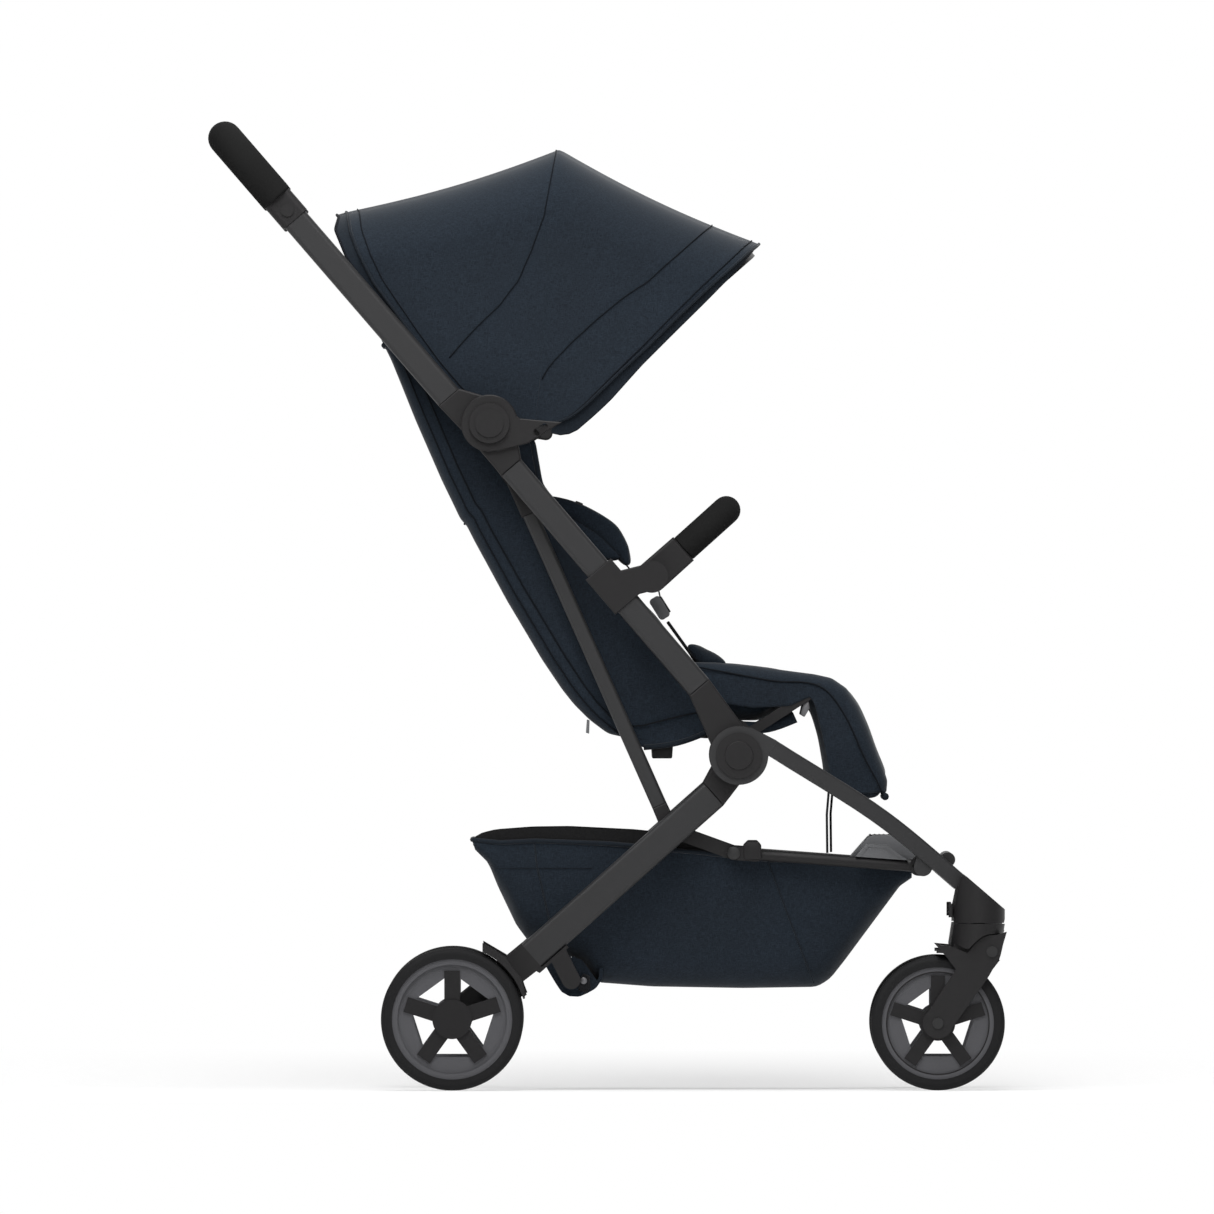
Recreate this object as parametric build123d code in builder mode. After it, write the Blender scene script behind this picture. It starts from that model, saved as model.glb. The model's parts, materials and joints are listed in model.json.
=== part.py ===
"""A compact folding baby stroller, as an assembly of separate pieces.

Millimetres, +X forward, +Y to the left, +Z up. The origin is on the floor,
midway between the outer faces and midway between the ends of the stroller.
The side view is drawn on planes parallel to XZ. A plane side(y) faces the
right-hand side at a distance y from the middle, and mirroring about XZ gives
the left-hand copy of each piece.
"""
from build123d import *
from math import atan2, cos, degrees, hypot, radians, sin
import os

os.makedirs("parts", exist_ok=True)

# ---- driving dimensions: pivots in the side view (x, z) ----
upper_hub = (-127.0, 726.0)
lower_hub = (144.5, 364.5)
handle_top = (-415.0, 1036.5)
rear_wheel_r = 77.5
front_wheel_r = 73.0
rear_axle = (-167.5, rear_wheel_r)
front_axle = (361.0, front_wheel_r)
caster_x = 406.0
fork_pivot = (420.0, 2 * front_wheel_r + 5.0)
leg_link_pivot = (70.0, 283.0)
elbow_pivot = (139.0, 258.0)
rail_pivot = (345.0, 243.0)
rear_bar_at = (-38.0, 120.0)
front_bar_at = (372.0, 251.0)
bumper_pivot = (50.0, 559.0)
bumper_top = (131.0, 631.5)
canopy_pivot = (-66.0, 716.0)
recline_pivot = (20.0, 394.0)
leg_rest_pivot = (231.0, 437.0)
crank_length = 62.5

# ---- driving dimensions: layers out from the middle (y), each on the one inside it ----
gap = 1.0
layer_gap = 1.5
seat_half = 148.0
seat_clear = 1.3
arm_layer = seat_half + seat_clear
arm_width = 6.0
link_layer = arm_layer + arm_width + 1.7
link_width = 13.5
inner_layer = link_layer + link_width + layer_gap
inner_width = 16.5
outer_layer = inner_layer + inner_width + layer_gap
outer_width = 16.0
ring_layer = outer_layer + outer_width + 0.5
ring_width = 6.0
cap_width = 5.5
canopy_half = inner_layer - gap
caster_layer = inner_layer + 12.0
wheel_width = 30.0
wheel_layer = inner_layer + inner_width + 6.5
overall_half = wheel_layer + wheel_width

# ---- driving dimensions: sections ----
main_depth = 28.0
handle_depth = 29.0
tube_wall = 1.6
tube_corner = 5.0
spigot_length = 24.0
fit = 0.15
rear_leg_depth = 33.0
front_leg_depth = 18.0
front_leg_width = 10.0
strut_depth = 16.5
rail_depth = 12.0
pin_r = 6.0
bow_pin_r = 3.0
link_pin_r = 3.0
rod_r = 4.0
running = 0.06
open_gap = 0.3
rivet_head = 1.6
hub_r = 31.0
cap_r = 22.0
cap_disc_r = 15.5
grip_r = 18.5
grip_corner = 46.0
bumper_half = seat_half + 7.0
bumper_r = 15.5
bumper_corner = 44.0
cross_tube_r = 9.0
housing_r = 28.0
seat_rail_layer = seat_half - 18.0
leg_rest_half = seat_rail_layer - gap
basket_half = arm_layer - open_gap


def side(y):
    """Plane parallel to XZ at a distance y to the right of the middle."""
    return Plane.XZ.offset(y)


def unit(p, q):
    """Unit direction from p to q in the side view."""
    length = hypot(q[0] - p[0], q[1] - p[1])
    return ((q[0] - p[0]) / length, (q[1] - p[1]) / length)


def along(p, q, distance):
    """Point that lies a distance from p towards q."""
    d = unit(p, q)
    return (p[0] + distance * d[0], p[1] + distance * d[1])


def beside(p, q, distance, offset):
    """Point a distance from p towards q, and an offset to its left."""
    d = unit(p, q)
    at = along(p, q, distance)
    return (at[0] - offset * d[1], at[1] + offset * d[0])


def shifted(p, dx, dz):
    """Point p moved by dx and dz."""
    return (p[0] + dx, p[1] + dz)


def spread(p, q):
    """Distance between two points in the side view."""
    return hypot(q[0] - p[0], q[1] - p[1])


def turned(p, centre, angle):
    """Point p turned about a centre, anticlockwise from the right-hand side."""
    a = radians(angle)
    dx, dz = p[0] - centre[0], p[1] - centre[1]
    return (centre[0] + dx * cos(a) - dz * sin(a), centre[1] + dx * sin(a) + dz * cos(a))


def moved_aside(points, offset):
    """Points of a line, each moved by an offset to the line's left."""
    moved = []
    for i, p in enumerate(points):
        d = unit(points[max(i - 1, 0)], points[min(i + 1, len(points) - 1)])
        moved.append((p[0] - offset * d[1], p[1] + offset * d[0]))
    return moved


def disc(centre, radius, mode=Mode.ADD):
    """Circle in the side-view sketch."""
    with Locations(centre):
        Circle(radius, mode=mode)


def bar(p, q, depth, mode=Mode.ADD):
    """Square-ended bar between two points, in the side-view sketch."""
    middle = ((p[0] + q[0]) / 2, (p[1] + q[1]) / 2)
    angle = degrees(atan2(q[1] - p[1], q[0] - p[0]))
    with Locations(middle):
        Rectangle(spread(p, q), depth, rotation=angle, mode=mode)


def link(p, q, depth, mode=Mode.ADD):
    """Round-ended bar between two pivots, in the side-view sketch."""
    bar(p, q, depth, mode)
    disc(p, depth / 2, mode)
    disc(q, depth / 2, mode)


def outline(points, mode=Mode.ADD):
    """Closed outline with straight sides, in the side-view sketch."""
    Polygon(*points, align=None, mode=mode)


def socket_outline(seam, far, hub, depth, eye_r):
    """Sides of a socket that runs from a tube's end to the eye on its hub."""
    outline([
        beside(seam, far, 0, depth / 2),
        beside(seam, far, 0, -depth / 2),
        beside(hub, seam, 0, -eye_r),
        beside(hub, seam, 0, eye_r),
    ])


def cross_plane(p, q, y):
    """Plane square to the line from p to q, at a distance y to the right."""
    d = unit(p, q)
    return Plane(origin=(p[0], -y, p[1]), x_dir=(0, 1, 0), z_dir=(d[0], 0, d[1]))


def save(piece, label):
    """Label a finished piece and write it as STEP."""
    piece.part.label = label
    export_step(piece.part, "parts/" + label + ".step")


def hollow_tubes(p, q, y, width, depth, wall, corner):
    """Pair of hollow tubes of rounded rectangular section from p to q."""
    with BuildPart() as tubes:
        with BuildSketch(cross_plane(p, q, y)):
            RectangleRounded(width, depth, corner)
            RectangleRounded(width - 2 * wall, depth - 2 * wall, corner - wall, mode=Mode.SUBTRACT)
        extrude(amount=spread(p, q))
        mirror(about=Plane.XZ)
    return tubes


def spigot(p, q, y, width, depth):
    """Plug that fills a tube's bore, from p towards q, with its fit."""
    bore = 2 * (tube_wall + fit)
    with BuildPart() as plug:
        with BuildSketch(cross_plane(p, q, y)):
            RectangleRounded(width - bore, depth - bore, tube_corner - tube_wall - fit)
        extrude(amount=spigot_length)
    return plug.part


# ==== main frame: the tubes and hubs that everything else hangs on ====
main_top = shifted(upper_hub, 24.0, -48.5)
main_foot = shifted(lower_hub, -43.5, 74.5)
outer_mid = outer_layer + outer_width / 2
inner_mid = inner_layer + inner_width / 2
link_mid = link_layer + link_width / 2

main_tubes = hollow_tubes(main_top, main_foot, outer_mid, outer_width, main_depth, tube_wall, tube_corner)
save(main_tubes, "main_tubes")

# Sockets at both ends of the main tubes, each with an eye on its hub.
upper_plug = spigot(main_top, main_foot, outer_mid, outer_width, main_depth)
lower_plug = spigot(main_foot, main_top, outer_mid, outer_width, main_depth)
with BuildPart() as tube_sockets:
    with BuildSketch(side(outer_layer)):
        socket_outline(main_top, main_foot, upper_hub, main_depth, hub_r - 3)
        disc(upper_hub, hub_r)
        disc(upper_hub, pin_r, Mode.SUBTRACT)
        socket_outline(main_foot, main_top, lower_hub, main_depth, hub_r - 8)
        disc(lower_hub, hub_r)
        disc(lower_hub, pin_r, Mode.SUBTRACT)
    extrude(amount=outer_width)
    fillet(tube_sockets.faces().filter_by(Axis.Y).edges().filter_by(GeomType.LINE), 2.5)
    add(upper_plug)
    add(lower_plug)
    mirror(about=Plane.XZ)
save(tube_sockets, "tube_sockets")

# Rings outside the hubs. The upper one carries the arm of the canopy bracket.
ring_arm = [
    shifted(upper_hub, 7, -hub_r),
    shifted(upper_hub, 42, -22),
    shifted(upper_hub, 79, 1),
    shifted(upper_hub, 67, 2),
    shifted(upper_hub, 34, 5),
    shifted(upper_hub, 10, 22),
]
with BuildPart() as canopy_brackets:
    with BuildSketch(side(ring_layer)):
        disc(upper_hub, hub_r)
        outline(ring_arm)
        with Locations(shifted(upper_hub, 56, -7)):
            SlotOverall(18, 8, rotation=32, mode=Mode.SUBTRACT)
        disc(upper_hub, cap_r + fit, Mode.SUBTRACT)
    extrude(amount=ring_width)
    chamfer(canopy_brackets.faces().sort_by(Axis.Y)[0].outer_wire().edges(), 1.2)
    mirror(about=Plane.XZ)
save(canopy_brackets, "canopy_brackets")

# Domed caps that close both hubs on the outside.
with BuildPart() as hub_caps:
    with BuildSketch(side(ring_layer)):
        disc(upper_hub, cap_r)
    extrude(amount=ring_width + cap_width)
    with BuildSketch(side(ring_layer + ring_width + cap_width)):
        disc(upper_hub, cap_disc_r)
    extrude(amount=2.0)
    lower_cap_base = ring_layer + 10.5
    with BuildSketch(side(lower_cap_base)):
        disc(lower_hub, cap_r + 3)
    extrude(amount=3.0)
    with BuildSketch(side(lower_cap_base + 3.0)):
        disc(lower_hub, cap_disc_r)
    extrude(amount=1.6)
    outer_rims = hub_caps.edges().filter_by(GeomType.CIRCLE).group_by(Axis.Y)
    fillet(outer_rims[0], 0.7)
    mirror(about=Plane.XZ)
save(hub_caps, "hub_caps")

# One cross tube runs from hub to hub, and its ends are the lower hubs' pins.
with BuildPart() as seat_cross_tube:
    with BuildSketch(side(-inner_layer + gap)):
        disc(lower_hub, cross_tube_r)
    extrude(amount=2 * (inner_layer - gap))
    with BuildSketch(side(-ring_layer - 10.5)):
        disc(lower_hub, pin_r)
    extrude(amount=2 * (ring_layer + 10.5))
save(seat_cross_tube, "seat_cross_tube")

# Upper hub pins. Each ends inside in a carrier that holds the canopy bows.
carrier_layer = link_layer + 1.0
carrier_plate = 2.0
bow_span = 10.6
with BuildPart() as canopy_carriers:
    with BuildSketch(side(carrier_layer)):
        disc(upper_hub, 15)
        link(upper_hub, canopy_pivot, 15)
    extrude(amount=carrier_plate)
    with BuildSketch(side(carrier_layer + carrier_plate)):
        disc(upper_hub, pin_r)
    extrude(amount=ring_layer - 0.5 - carrier_layer - carrier_plate)
    with BuildSketch(side(carrier_layer + carrier_plate)):
        disc(canopy_pivot, bow_pin_r)
    extrude(amount=bow_span)
    with BuildSketch(side(carrier_layer + carrier_plate + bow_span)):
        disc(canopy_pivot, 6.5)
    extrude(amount=1.2)
    mirror(about=Plane.XZ)
save(canopy_carriers, "canopy_carriers")

# ==== folding handle ====
knuckle_top = shifted(upper_hub, -44.5, 28.5)
housing_length = 31.0
handle_run = spread(knuckle_top, handle_top)
grip_run = 87.0
housing_foot = along(knuckle_top, handle_top, handle_run - grip_run - housing_length)
grip_foot = along(knuckle_top, handle_top, handle_run - grip_run)
crank_pin = along(upper_hub, leg_link_pivot, crank_length)
crank_eye_r = 11.0
handle_width = outer_width

knuckle_plug = spigot(knuckle_top, handle_top, inner_mid, handle_width, handle_depth)
with BuildPart() as handle_knuckles:
    with BuildSketch(side(inner_layer)):
        socket_outline(knuckle_top, handle_top, upper_hub, handle_depth, hub_r - 3)
        disc(upper_hub, hub_r)
        outline([
            beside(upper_hub, crank_pin, 0, -24),
            beside(upper_hub, crank_pin, crank_length, -crank_eye_r),
            beside(upper_hub, crank_pin, crank_length, crank_eye_r),
            beside(upper_hub, crank_pin, 0, 24),
        ])
        disc(crank_pin, crank_eye_r)
        disc(upper_hub, pin_r + running, Mode.SUBTRACT)
    extrude(amount=inner_width)
    knuckle_edges = handle_knuckles.faces().filter_by(Axis.Y).edges().filter_by(GeomType.LINE)
    fillet(knuckle_edges, 2.0)
    add(knuckle_plug)
    mirror(about=Plane.XZ)
save(handle_knuckles, "handle_knuckles")

handle_tubes = hollow_tubes(
    knuckle_top, housing_foot, inner_mid, handle_width, handle_depth, tube_wall, tube_corner
)
save(handle_tubes, "handle_tubes")

# Foam grip: one soft U round the push bar.
with BuildPart() as handle_grip:
    with BuildLine() as grip_path:
        FilletPolyline(
            (grip_foot[0], -inner_mid, grip_foot[1]),
            (handle_top[0], -inner_mid, handle_top[1]),
            (handle_top[0], inner_mid, handle_top[1]),
            (grip_foot[0], inner_mid, grip_foot[1]),
            radius=grip_corner,
        )
    with BuildSketch(cross_plane(grip_foot, handle_top, inner_mid)):
        Circle(grip_r)
    sweep()
save(handle_grip, "handle_grip")

# Plastic ends between the tubes and the foam, each with a rivet cap, and the
# plastic mount of the fold trigger under the middle of the push bar.
trigger_width = 44.0
trigger_depth = 16.0
trigger_travel = 5.0
trigger_clear = 0.5
mount_from = along(handle_top, knuckle_top, grip_r - 8)
with BuildPart() as handle_ends:
    with BuildSketch(cross_plane(housing_foot, handle_top, inner_mid)):
        RectangleRounded(handle_width + 3, handle_depth + 5, tube_corner + 1)
    extrude(amount=housing_length)
    rims = handle_ends.faces().sort_by(Axis.Z)[0].edges()
    chamfer(rims, 1.2)
    with BuildSketch(side(inner_mid + handle_width / 2 + 1.4)):
        disc(along(housing_foot, handle_top, housing_length * 0.45), 7)
    extrude(amount=2.2)
    mirror(about=Plane.XZ)
    with BuildSketch(cross_plane(mount_from, knuckle_top, 0)):
        RectangleRounded(trigger_width + 14, trigger_depth + 9, 9)
        RectangleRounded(
            trigger_width + 2 * trigger_clear, trigger_depth + 2 * trigger_clear, 6.5, mode=Mode.SUBTRACT
        )
    extrude(amount=trigger_travel + 14)
    add(handle_grip.part, mode=Mode.SUBTRACT)
save(handle_ends, "handle_ends")

# Fold trigger under the middle of the push bar.
trigger_at = along(handle_top, knuckle_top, grip_r + trigger_travel + trigger_clear)
with BuildPart() as fold_trigger:
    with BuildSketch(cross_plane(trigger_at, knuckle_top, 0)):
        RectangleRounded(trigger_width, trigger_depth, 6)
    extrude(amount=9)
    fillet(fold_trigger.faces().sort_by(Axis.Z)[0].edges(), 3)
save(fold_trigger, "fold_trigger")

# ==== rear legs, with what the wheels and the basket hang on ====
leg_top = shifted(lower_hub, -28.0, -42.5)
leg_foot = shifted(rear_axle, 86.5, 69.0)
leg_width = inner_width
axle_r = 4.0
stub_r = 9.0

rear_legs = hollow_tubes(leg_top, leg_foot, inner_mid, leg_width, rear_leg_depth, tube_wall, tube_corner)
save(rear_legs, "rear_legs")

leg_top_plug = spigot(leg_top, leg_foot, inner_mid, leg_width, rear_leg_depth)
with BuildPart() as rear_leg_sockets:
    with BuildSketch(side(inner_layer)):
        socket_outline(leg_top, leg_foot, lower_hub, rear_leg_depth, 20)
        disc(lower_hub, 24)
        disc(lower_hub, pin_r + running, Mode.SUBTRACT)
    extrude(amount=leg_width)
    fillet(rear_leg_sockets.faces().filter_by(Axis.Y).edges().filter_by(GeomType.LINE), 2.5)
    add(leg_top_plug)
    mirror(about=Plane.XZ)
save(rear_leg_sockets, "rear_leg_sockets")

# Ends that carry the axles, the rear bar and the mudguards.
bar_cap = 2.0
leg_foot_plug = spigot(leg_foot, leg_top, inner_mid, leg_width, rear_leg_depth)
with BuildPart() as rear_leg_ends:
    with BuildSketch(side(inner_layer)):
        outline([
            beside(leg_foot, leg_top, 0, rear_leg_depth / 2),
            beside(leg_foot, leg_top, 0, -rear_leg_depth / 2),
            beside(rear_axle, leg_foot, 0, -15),
            beside(rear_axle, leg_foot, 0, 15),
        ])
        disc(rear_axle, 17)
        link(beside(leg_foot, leg_top, 23, -rear_leg_depth / 2 + 1), rear_bar_at, 2 * cross_tube_r + 2)
        outline([
            beside(leg_foot, leg_top, 36, -rear_leg_depth / 2),
            beside(leg_foot, leg_top, -9, -rear_leg_depth / 2 + 5),
            beside(leg_foot, leg_top, -6, -rear_leg_depth / 2 - 3.5),
            beside(leg_foot, leg_top, 36, -rear_leg_depth / 2 - 3.5),
        ])
        disc(rear_axle, axle_r, Mode.SUBTRACT)
        bar(leg_foot, along(leg_foot, leg_top, 60), rear_leg_depth, Mode.SUBTRACT)
    extrude(amount=leg_width)
    with BuildSketch(side(inner_layer + leg_width)):
        disc(rear_axle, stub_r)
        disc(rear_axle, axle_r, Mode.SUBTRACT)
    extrude(amount=wheel_layer - gap - inner_layer - leg_width)
    with BuildSketch(side(inner_layer)):
        disc(rear_bar_at, cross_tube_r)
    extrude(amount=leg_width - bar_cap, mode=Mode.SUBTRACT)
    add(leg_foot_plug)
    mirror(about=Plane.XZ)
save(rear_leg_ends, "rear_leg_ends")

with BuildPart() as rear_cross_bar:
    with BuildSketch(side(bar_cap - inner_layer - leg_width)):
        disc(rear_bar_at, cross_tube_r)
        disc(rear_bar_at, cross_tube_r - 1.8, Mode.SUBTRACT)
    extrude(amount=2 * (inner_layer + leg_width - bar_cap))
save(rear_cross_bar, "rear_cross_bar")

# Pins of the rear legs: the axles, and the pivots of the struts and arms.
pin_clear = 0.2
pin_head = seat_clear - pin_clear - 0.1
with BuildPart() as rear_pins:
    with BuildSketch(side(inner_layer - 3)):
        disc(rear_axle, 7)
    extrude(amount=3)
    with BuildSketch(side(inner_layer)):
        disc(rear_axle, axle_r)
    extrude(amount=overall_half - 5 - inner_layer)
    with BuildSketch(side(arm_layer - pin_clear - pin_head)):
        disc(leg_link_pivot, 5)
    extrude(amount=pin_head)
    with BuildSketch(side(arm_layer - pin_clear)):
        disc(leg_link_pivot, link_pin_r)
    extrude(amount=inner_layer - arm_layer + pin_clear)
    mirror(about=Plane.XZ)
save(rear_pins, "rear_pins")

# Mudguards: an arc over the front of each rear tyre, on an arm from the leg end.
guard_gap = 3.0
guard_wall = 5.0
guard_start, guard_end = 16.0, 66.0
guard_r = rear_wheel_r + guard_gap
guard_tip = turned(shifted(rear_axle, guard_r + 8.8, 0), rear_axle, 68.3)
guard_brow = turned(shifted(rear_axle, guard_r + 9.2, 0), rear_axle, 49.3)
with BuildPart() as mudguards:
    with BuildSketch(side(inner_layer + leg_width + 0.4)):
        outline([
            guard_tip,
            guard_brow,
            beside(rear_axle, leg_foot, spread(rear_axle, leg_foot) - 24, 8),
            beside(rear_axle, leg_foot, spread(rear_axle, leg_foot) - 24, -11),
            turned(shifted(rear_axle, guard_r + guard_wall, 0), rear_axle, guard_start + 8),
            turned(shifted(rear_axle, guard_r + 2, 0), rear_axle, guard_start),
            turned(shifted(rear_axle, 50, 0), rear_axle, guard_start),
            turned(shifted(rear_axle, 50, 0), rear_axle, guard_end - 4),
            shifted(guard_tip, 0, -12),
        ])
        disc(rear_axle, guard_r, Mode.SUBTRACT)
    extrude(amount=overall_half - 1 - inner_layer - leg_width - 0.4)
    with BuildSketch(side(inner_layer + leg_width + 0.4)):
        disc(rear_axle, guard_r + guard_wall)
        disc(rear_axle, 60, Mode.SUBTRACT)
        outline([
            rear_axle,
            turned(shifted(rear_axle, 200, 0), rear_axle, guard_start + 2),
            turned(shifted(rear_axle, 200, 0), rear_axle, guard_end - 14),
        ], Mode.INTERSECT)
    extrude(amount=3)
    mirror(about=Plane.XZ)
save(mudguards, "mudguards")

# Brake pedal on the rear bar, at the middle.
pedal_half = 38.0
pedal_tip = shifted(rear_bar_at, -12, 19)
with BuildPart() as brake_pedal:
    with BuildSketch(side(-pedal_half)):
        disc(rear_bar_at, cross_tube_r + 3)
        outline([
            beside(rear_bar_at, pedal_tip, 0, 8),
            beside(rear_bar_at, pedal_tip, 0, -8),
            beside(rear_bar_at, pedal_tip, spread(rear_bar_at, pedal_tip), -3.5),
            beside(rear_bar_at, pedal_tip, spread(rear_bar_at, pedal_tip), 3.5),
        ])
        disc(rear_bar_at, cross_tube_r + 0.3, Mode.SUBTRACT)
    extrude(amount=2 * pedal_half)
    fillet(brake_pedal.edges().filter_by(Axis.Y).group_by(Axis.Z)[-1], 2)
save(brake_pedal, "brake_pedal")


# ==== wheels ====
def tyre(axle, y_inner, width, radius, rim_r):
    """Rubber tyre with rounded shoulders, centred on its axle."""
    with BuildPart() as ring:
        with BuildSketch(side(y_inner)):
            disc(axle, radius)
            disc(axle, rim_r, Mode.SUBTRACT)
        extrude(amount=width)
        tread = ring.edges().filter_by(GeomType.CIRCLE).group_by(SortBy.RADIUS)[-1]
        fillet(tread, min(6.5, width / 3))
    return ring


def spoked_wheel(axle, y_inner, width, rim_r, star_r, spoke_width, chord, hub_radius, bore_r, open_end):
    """Rim, web with five windows, raised star of spokes, and a hub bored for its axle."""
    web_at = y_inner + 0.62 * width
    with BuildPart() as wheel:
        with BuildSketch(side(y_inner + 2)):
            disc(axle, rim_r)
            disc(axle, rim_r - 6, Mode.SUBTRACT)
        extrude(amount=width - 4)
        with BuildSketch(side(web_at)):
            disc(axle, rim_r - 3)
            inner = spoke_width / 2 / sin(radians(36))
            for turn in range(5):
                middle = 90 + 36 + 72 * turn
                reach = (chord - inner) / cos(radians(36)) * sin(radians(36))
                tip = turned(shifted(axle, inner, 0), axle, middle)
                top = turned(shifted(axle, chord, 0), axle, middle)
                outline([tip, beside(axle, top, chord, reach), beside(axle, top, chord, -reach)], Mode.SUBTRACT)
            disc(axle, hub_radius)
        extrude(amount=5)
        with BuildSketch(side(web_at + 5)):
            for turn in range(5):
                middle = 90 + 72 * turn
                end = turned(shifted(axle, star_r - 3, 0), axle, middle)
                bar(axle, end, spoke_width)
            disc(axle, hub_radius)
        extrude(amount=2.5)
        with BuildSketch(side(web_at + 7.5)):
            disc(axle, hub_radius)
        extrude(amount=min(3.0, overall_half - web_at - 7.6))
        with BuildSketch(side(y_inner)):
            disc(axle, hub_radius - 6)
        extrude(amount=web_at - y_inner)
        with BuildSketch(side(y_inner)):
            disc(axle, bore_r)
        extrude(amount=width + 4 if open_end else web_at + 7 - y_inner, mode=Mode.SUBTRACT)
    return wheel


def save_pair(piece, label):
    """Save a right-hand piece and its mirrored left-hand copy."""
    save(piece, label + "_right")
    with BuildPart() as other:
        mirror(piece.part, about=Plane.XZ)
    save(other, label + "_left")


wheel_bore = axle_r + running
rear_rim_r = rear_wheel_r - 12
save_pair(tyre(rear_axle, wheel_layer, wheel_width, rear_wheel_r, rear_rim_r), "rear_tyre")
rear_wheel = spoked_wheel(
    rear_axle, wheel_layer, wheel_width, rear_rim_r, 56.0, 17.0, 41.0, 21.5, wheel_bore, False
)
save_pair(rear_wheel, "rear_wheel")

# ==== struts between the handle's cranks and the rear legs ====
strut_end = 46.0
strut_corner = 4.0
strut_top = along(crank_pin, leg_link_pivot, strut_end)
strut_foot = along(leg_link_pivot, crank_pin, 30.0)
with BuildPart() as strut_ends:
    with BuildSketch(side(link_layer)):
        outline([
            beside(crank_pin, leg_link_pivot, 0, 9.5),
            beside(crank_pin, leg_link_pivot, 0, -9.5),
            beside(crank_pin, leg_link_pivot, strut_end, -strut_depth / 2 - 1.2),
            beside(crank_pin, leg_link_pivot, strut_end, strut_depth / 2 + 1.2),
        ])
        disc(crank_pin, 9.5)
        outline([
            beside(leg_link_pivot, crank_pin, 0, 9),
            beside(leg_link_pivot, crank_pin, 0, -9),
            beside(leg_link_pivot, crank_pin, 30, -strut_depth / 2),
            beside(leg_link_pivot, crank_pin, 30, strut_depth / 2),
        ])
        disc(leg_link_pivot, 9)
        disc(leg_link_pivot, link_pin_r + running, Mode.SUBTRACT)
    extrude(amount=link_width)
    fillet(strut_ends.faces().filter_by(Axis.Y).edges().filter_by(GeomType.LINE), 2)
    # Rivet of the upper eye: its head inside, its shank up to the handle's crank.
    with BuildSketch(side(link_layer - rivet_head)):
        disc(crank_pin, 6.5)
    extrude(amount=rivet_head)
    with BuildSketch(side(link_layer + link_width)):
        disc(crank_pin, link_pin_r + 1.5)
    extrude(amount=inner_layer - open_gap - link_layer - link_width)
    mirror(about=Plane.XZ)
save(strut_ends, "strut_ends")

struts = hollow_tubes(strut_top, strut_foot, link_mid, link_width, strut_depth, tube_wall, strut_corner)
save(struts, "struts")

# ==== basket rails: an arm from each rear leg meets a rail at an elbow ====
with BuildPart() as rear_arms:
    with BuildSketch(side(arm_layer)):
        link(leg_link_pivot, elbow_pivot, 15)
        disc(leg_link_pivot, link_pin_r + running, Mode.SUBTRACT)
    extrude(amount=arm_width)
    mirror(about=Plane.XZ)
save(rear_arms, "rear_arms")

rail_tube_r = rail_depth / 2
with BuildPart() as front_rails:
    rail_from = along(elbow_pivot, rail_pivot, 14)
    rail_to = along(rail_pivot, elbow_pivot, 13)
    with BuildSketch(side(link_layer)):
        link(elbow_pivot, along(elbow_pivot, rail_pivot, 24), 15)
        link(along(rail_pivot, elbow_pivot, 5), rail_pivot, 20)
        disc(rail_pivot, link_pin_r + running, Mode.SUBTRACT)
        disc(along(rail_pivot, elbow_pivot, 9), 2.6, Mode.SUBTRACT)
    extrude(amount=link_width - 1)
    with BuildSketch(cross_plane(rail_from, rail_to, link_mid - 0.5)):
        Circle(rail_tube_r)
    extrude(amount=spread(rail_from, rail_to))
    # Rivet of the elbow: its head outside, its shank up to the arm.
    with BuildSketch(side(link_layer + link_width - 1)):
        disc(elbow_pivot, 5)
    extrude(amount=rivet_head)
    with BuildSketch(side(arm_layer + arm_width + open_gap)):
        disc(elbow_pivot, 5)
    extrude(amount=link_layer - arm_layer - arm_width - open_gap)
    mirror(about=Plane.XZ)
save(front_rails, "front_rails")

# Ribbed footrest plate across the two rails.
plate_at = along(rail_pivot, elbow_pivot, 17)
plate_end = along(rail_pivot, elbow_pivot, 73)
with BuildPart() as footrest:
    plate_half = link_layer + link_width
    with BuildSketch(side(-plate_half)):
        outline([
            beside(plate_at, elbow_pivot, 0, -rail_tube_r),
            beside(plate_at, elbow_pivot, 24, -21),
            beside(plate_at, elbow_pivot, 46, -21),
            beside(plate_at, elbow_pivot, 57, -rail_tube_r),
            beside(plate_at, elbow_pivot, 52, -rail_tube_r),
            beside(plate_at, elbow_pivot, 44, -17.5),
            beside(plate_at, elbow_pivot, 25, -17.5),
            beside(plate_at, elbow_pivot, 6, -rail_tube_r),
        ])
    extrude(amount=2 * plate_half)
    with BuildSketch(side(link_layer)):
        outline([
            beside(plate_at, elbow_pivot, 2, -rail_tube_r),
            beside(plate_at, elbow_pivot, 25, -19),
            beside(plate_at, elbow_pivot, 45, -19),
            beside(plate_at, elbow_pivot, 54, -rail_tube_r),
        ])
    extrude(amount=link_width - 1)
    mirror(about=Plane.XZ)
save(footrest, "footrest")

# ==== front legs: a ring on the hub, and a curved bar that leans inwards ====
leg_lean = 7.8
leg_start = shifted(lower_hub, hub_r + 6, 8)
lean_plane = Plane(
    origin=(leg_start[0], -ring_layer - front_leg_width, 0),
    x_dir=(cos(radians(leg_lean)), sin(radians(leg_lean)), 0),
    z_dir=(sin(radians(leg_lean)), -cos(radians(leg_lean)), 0),
)
leg_line = [
    leg_start,
    shifted(lower_hub, 89.5, -24.5),
    shifted(lower_hub, 162.0, -72.0),
    shifted(lower_hub, 211.0, -112.0),
    shifted(lower_hub, 241.5, -138.5),
]


def leaning(p):
    """Side-view point in the coordinates of the leaning plane."""
    return ((p[0] - leg_start[0]) / cos(radians(leg_lean)), p[1])


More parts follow.
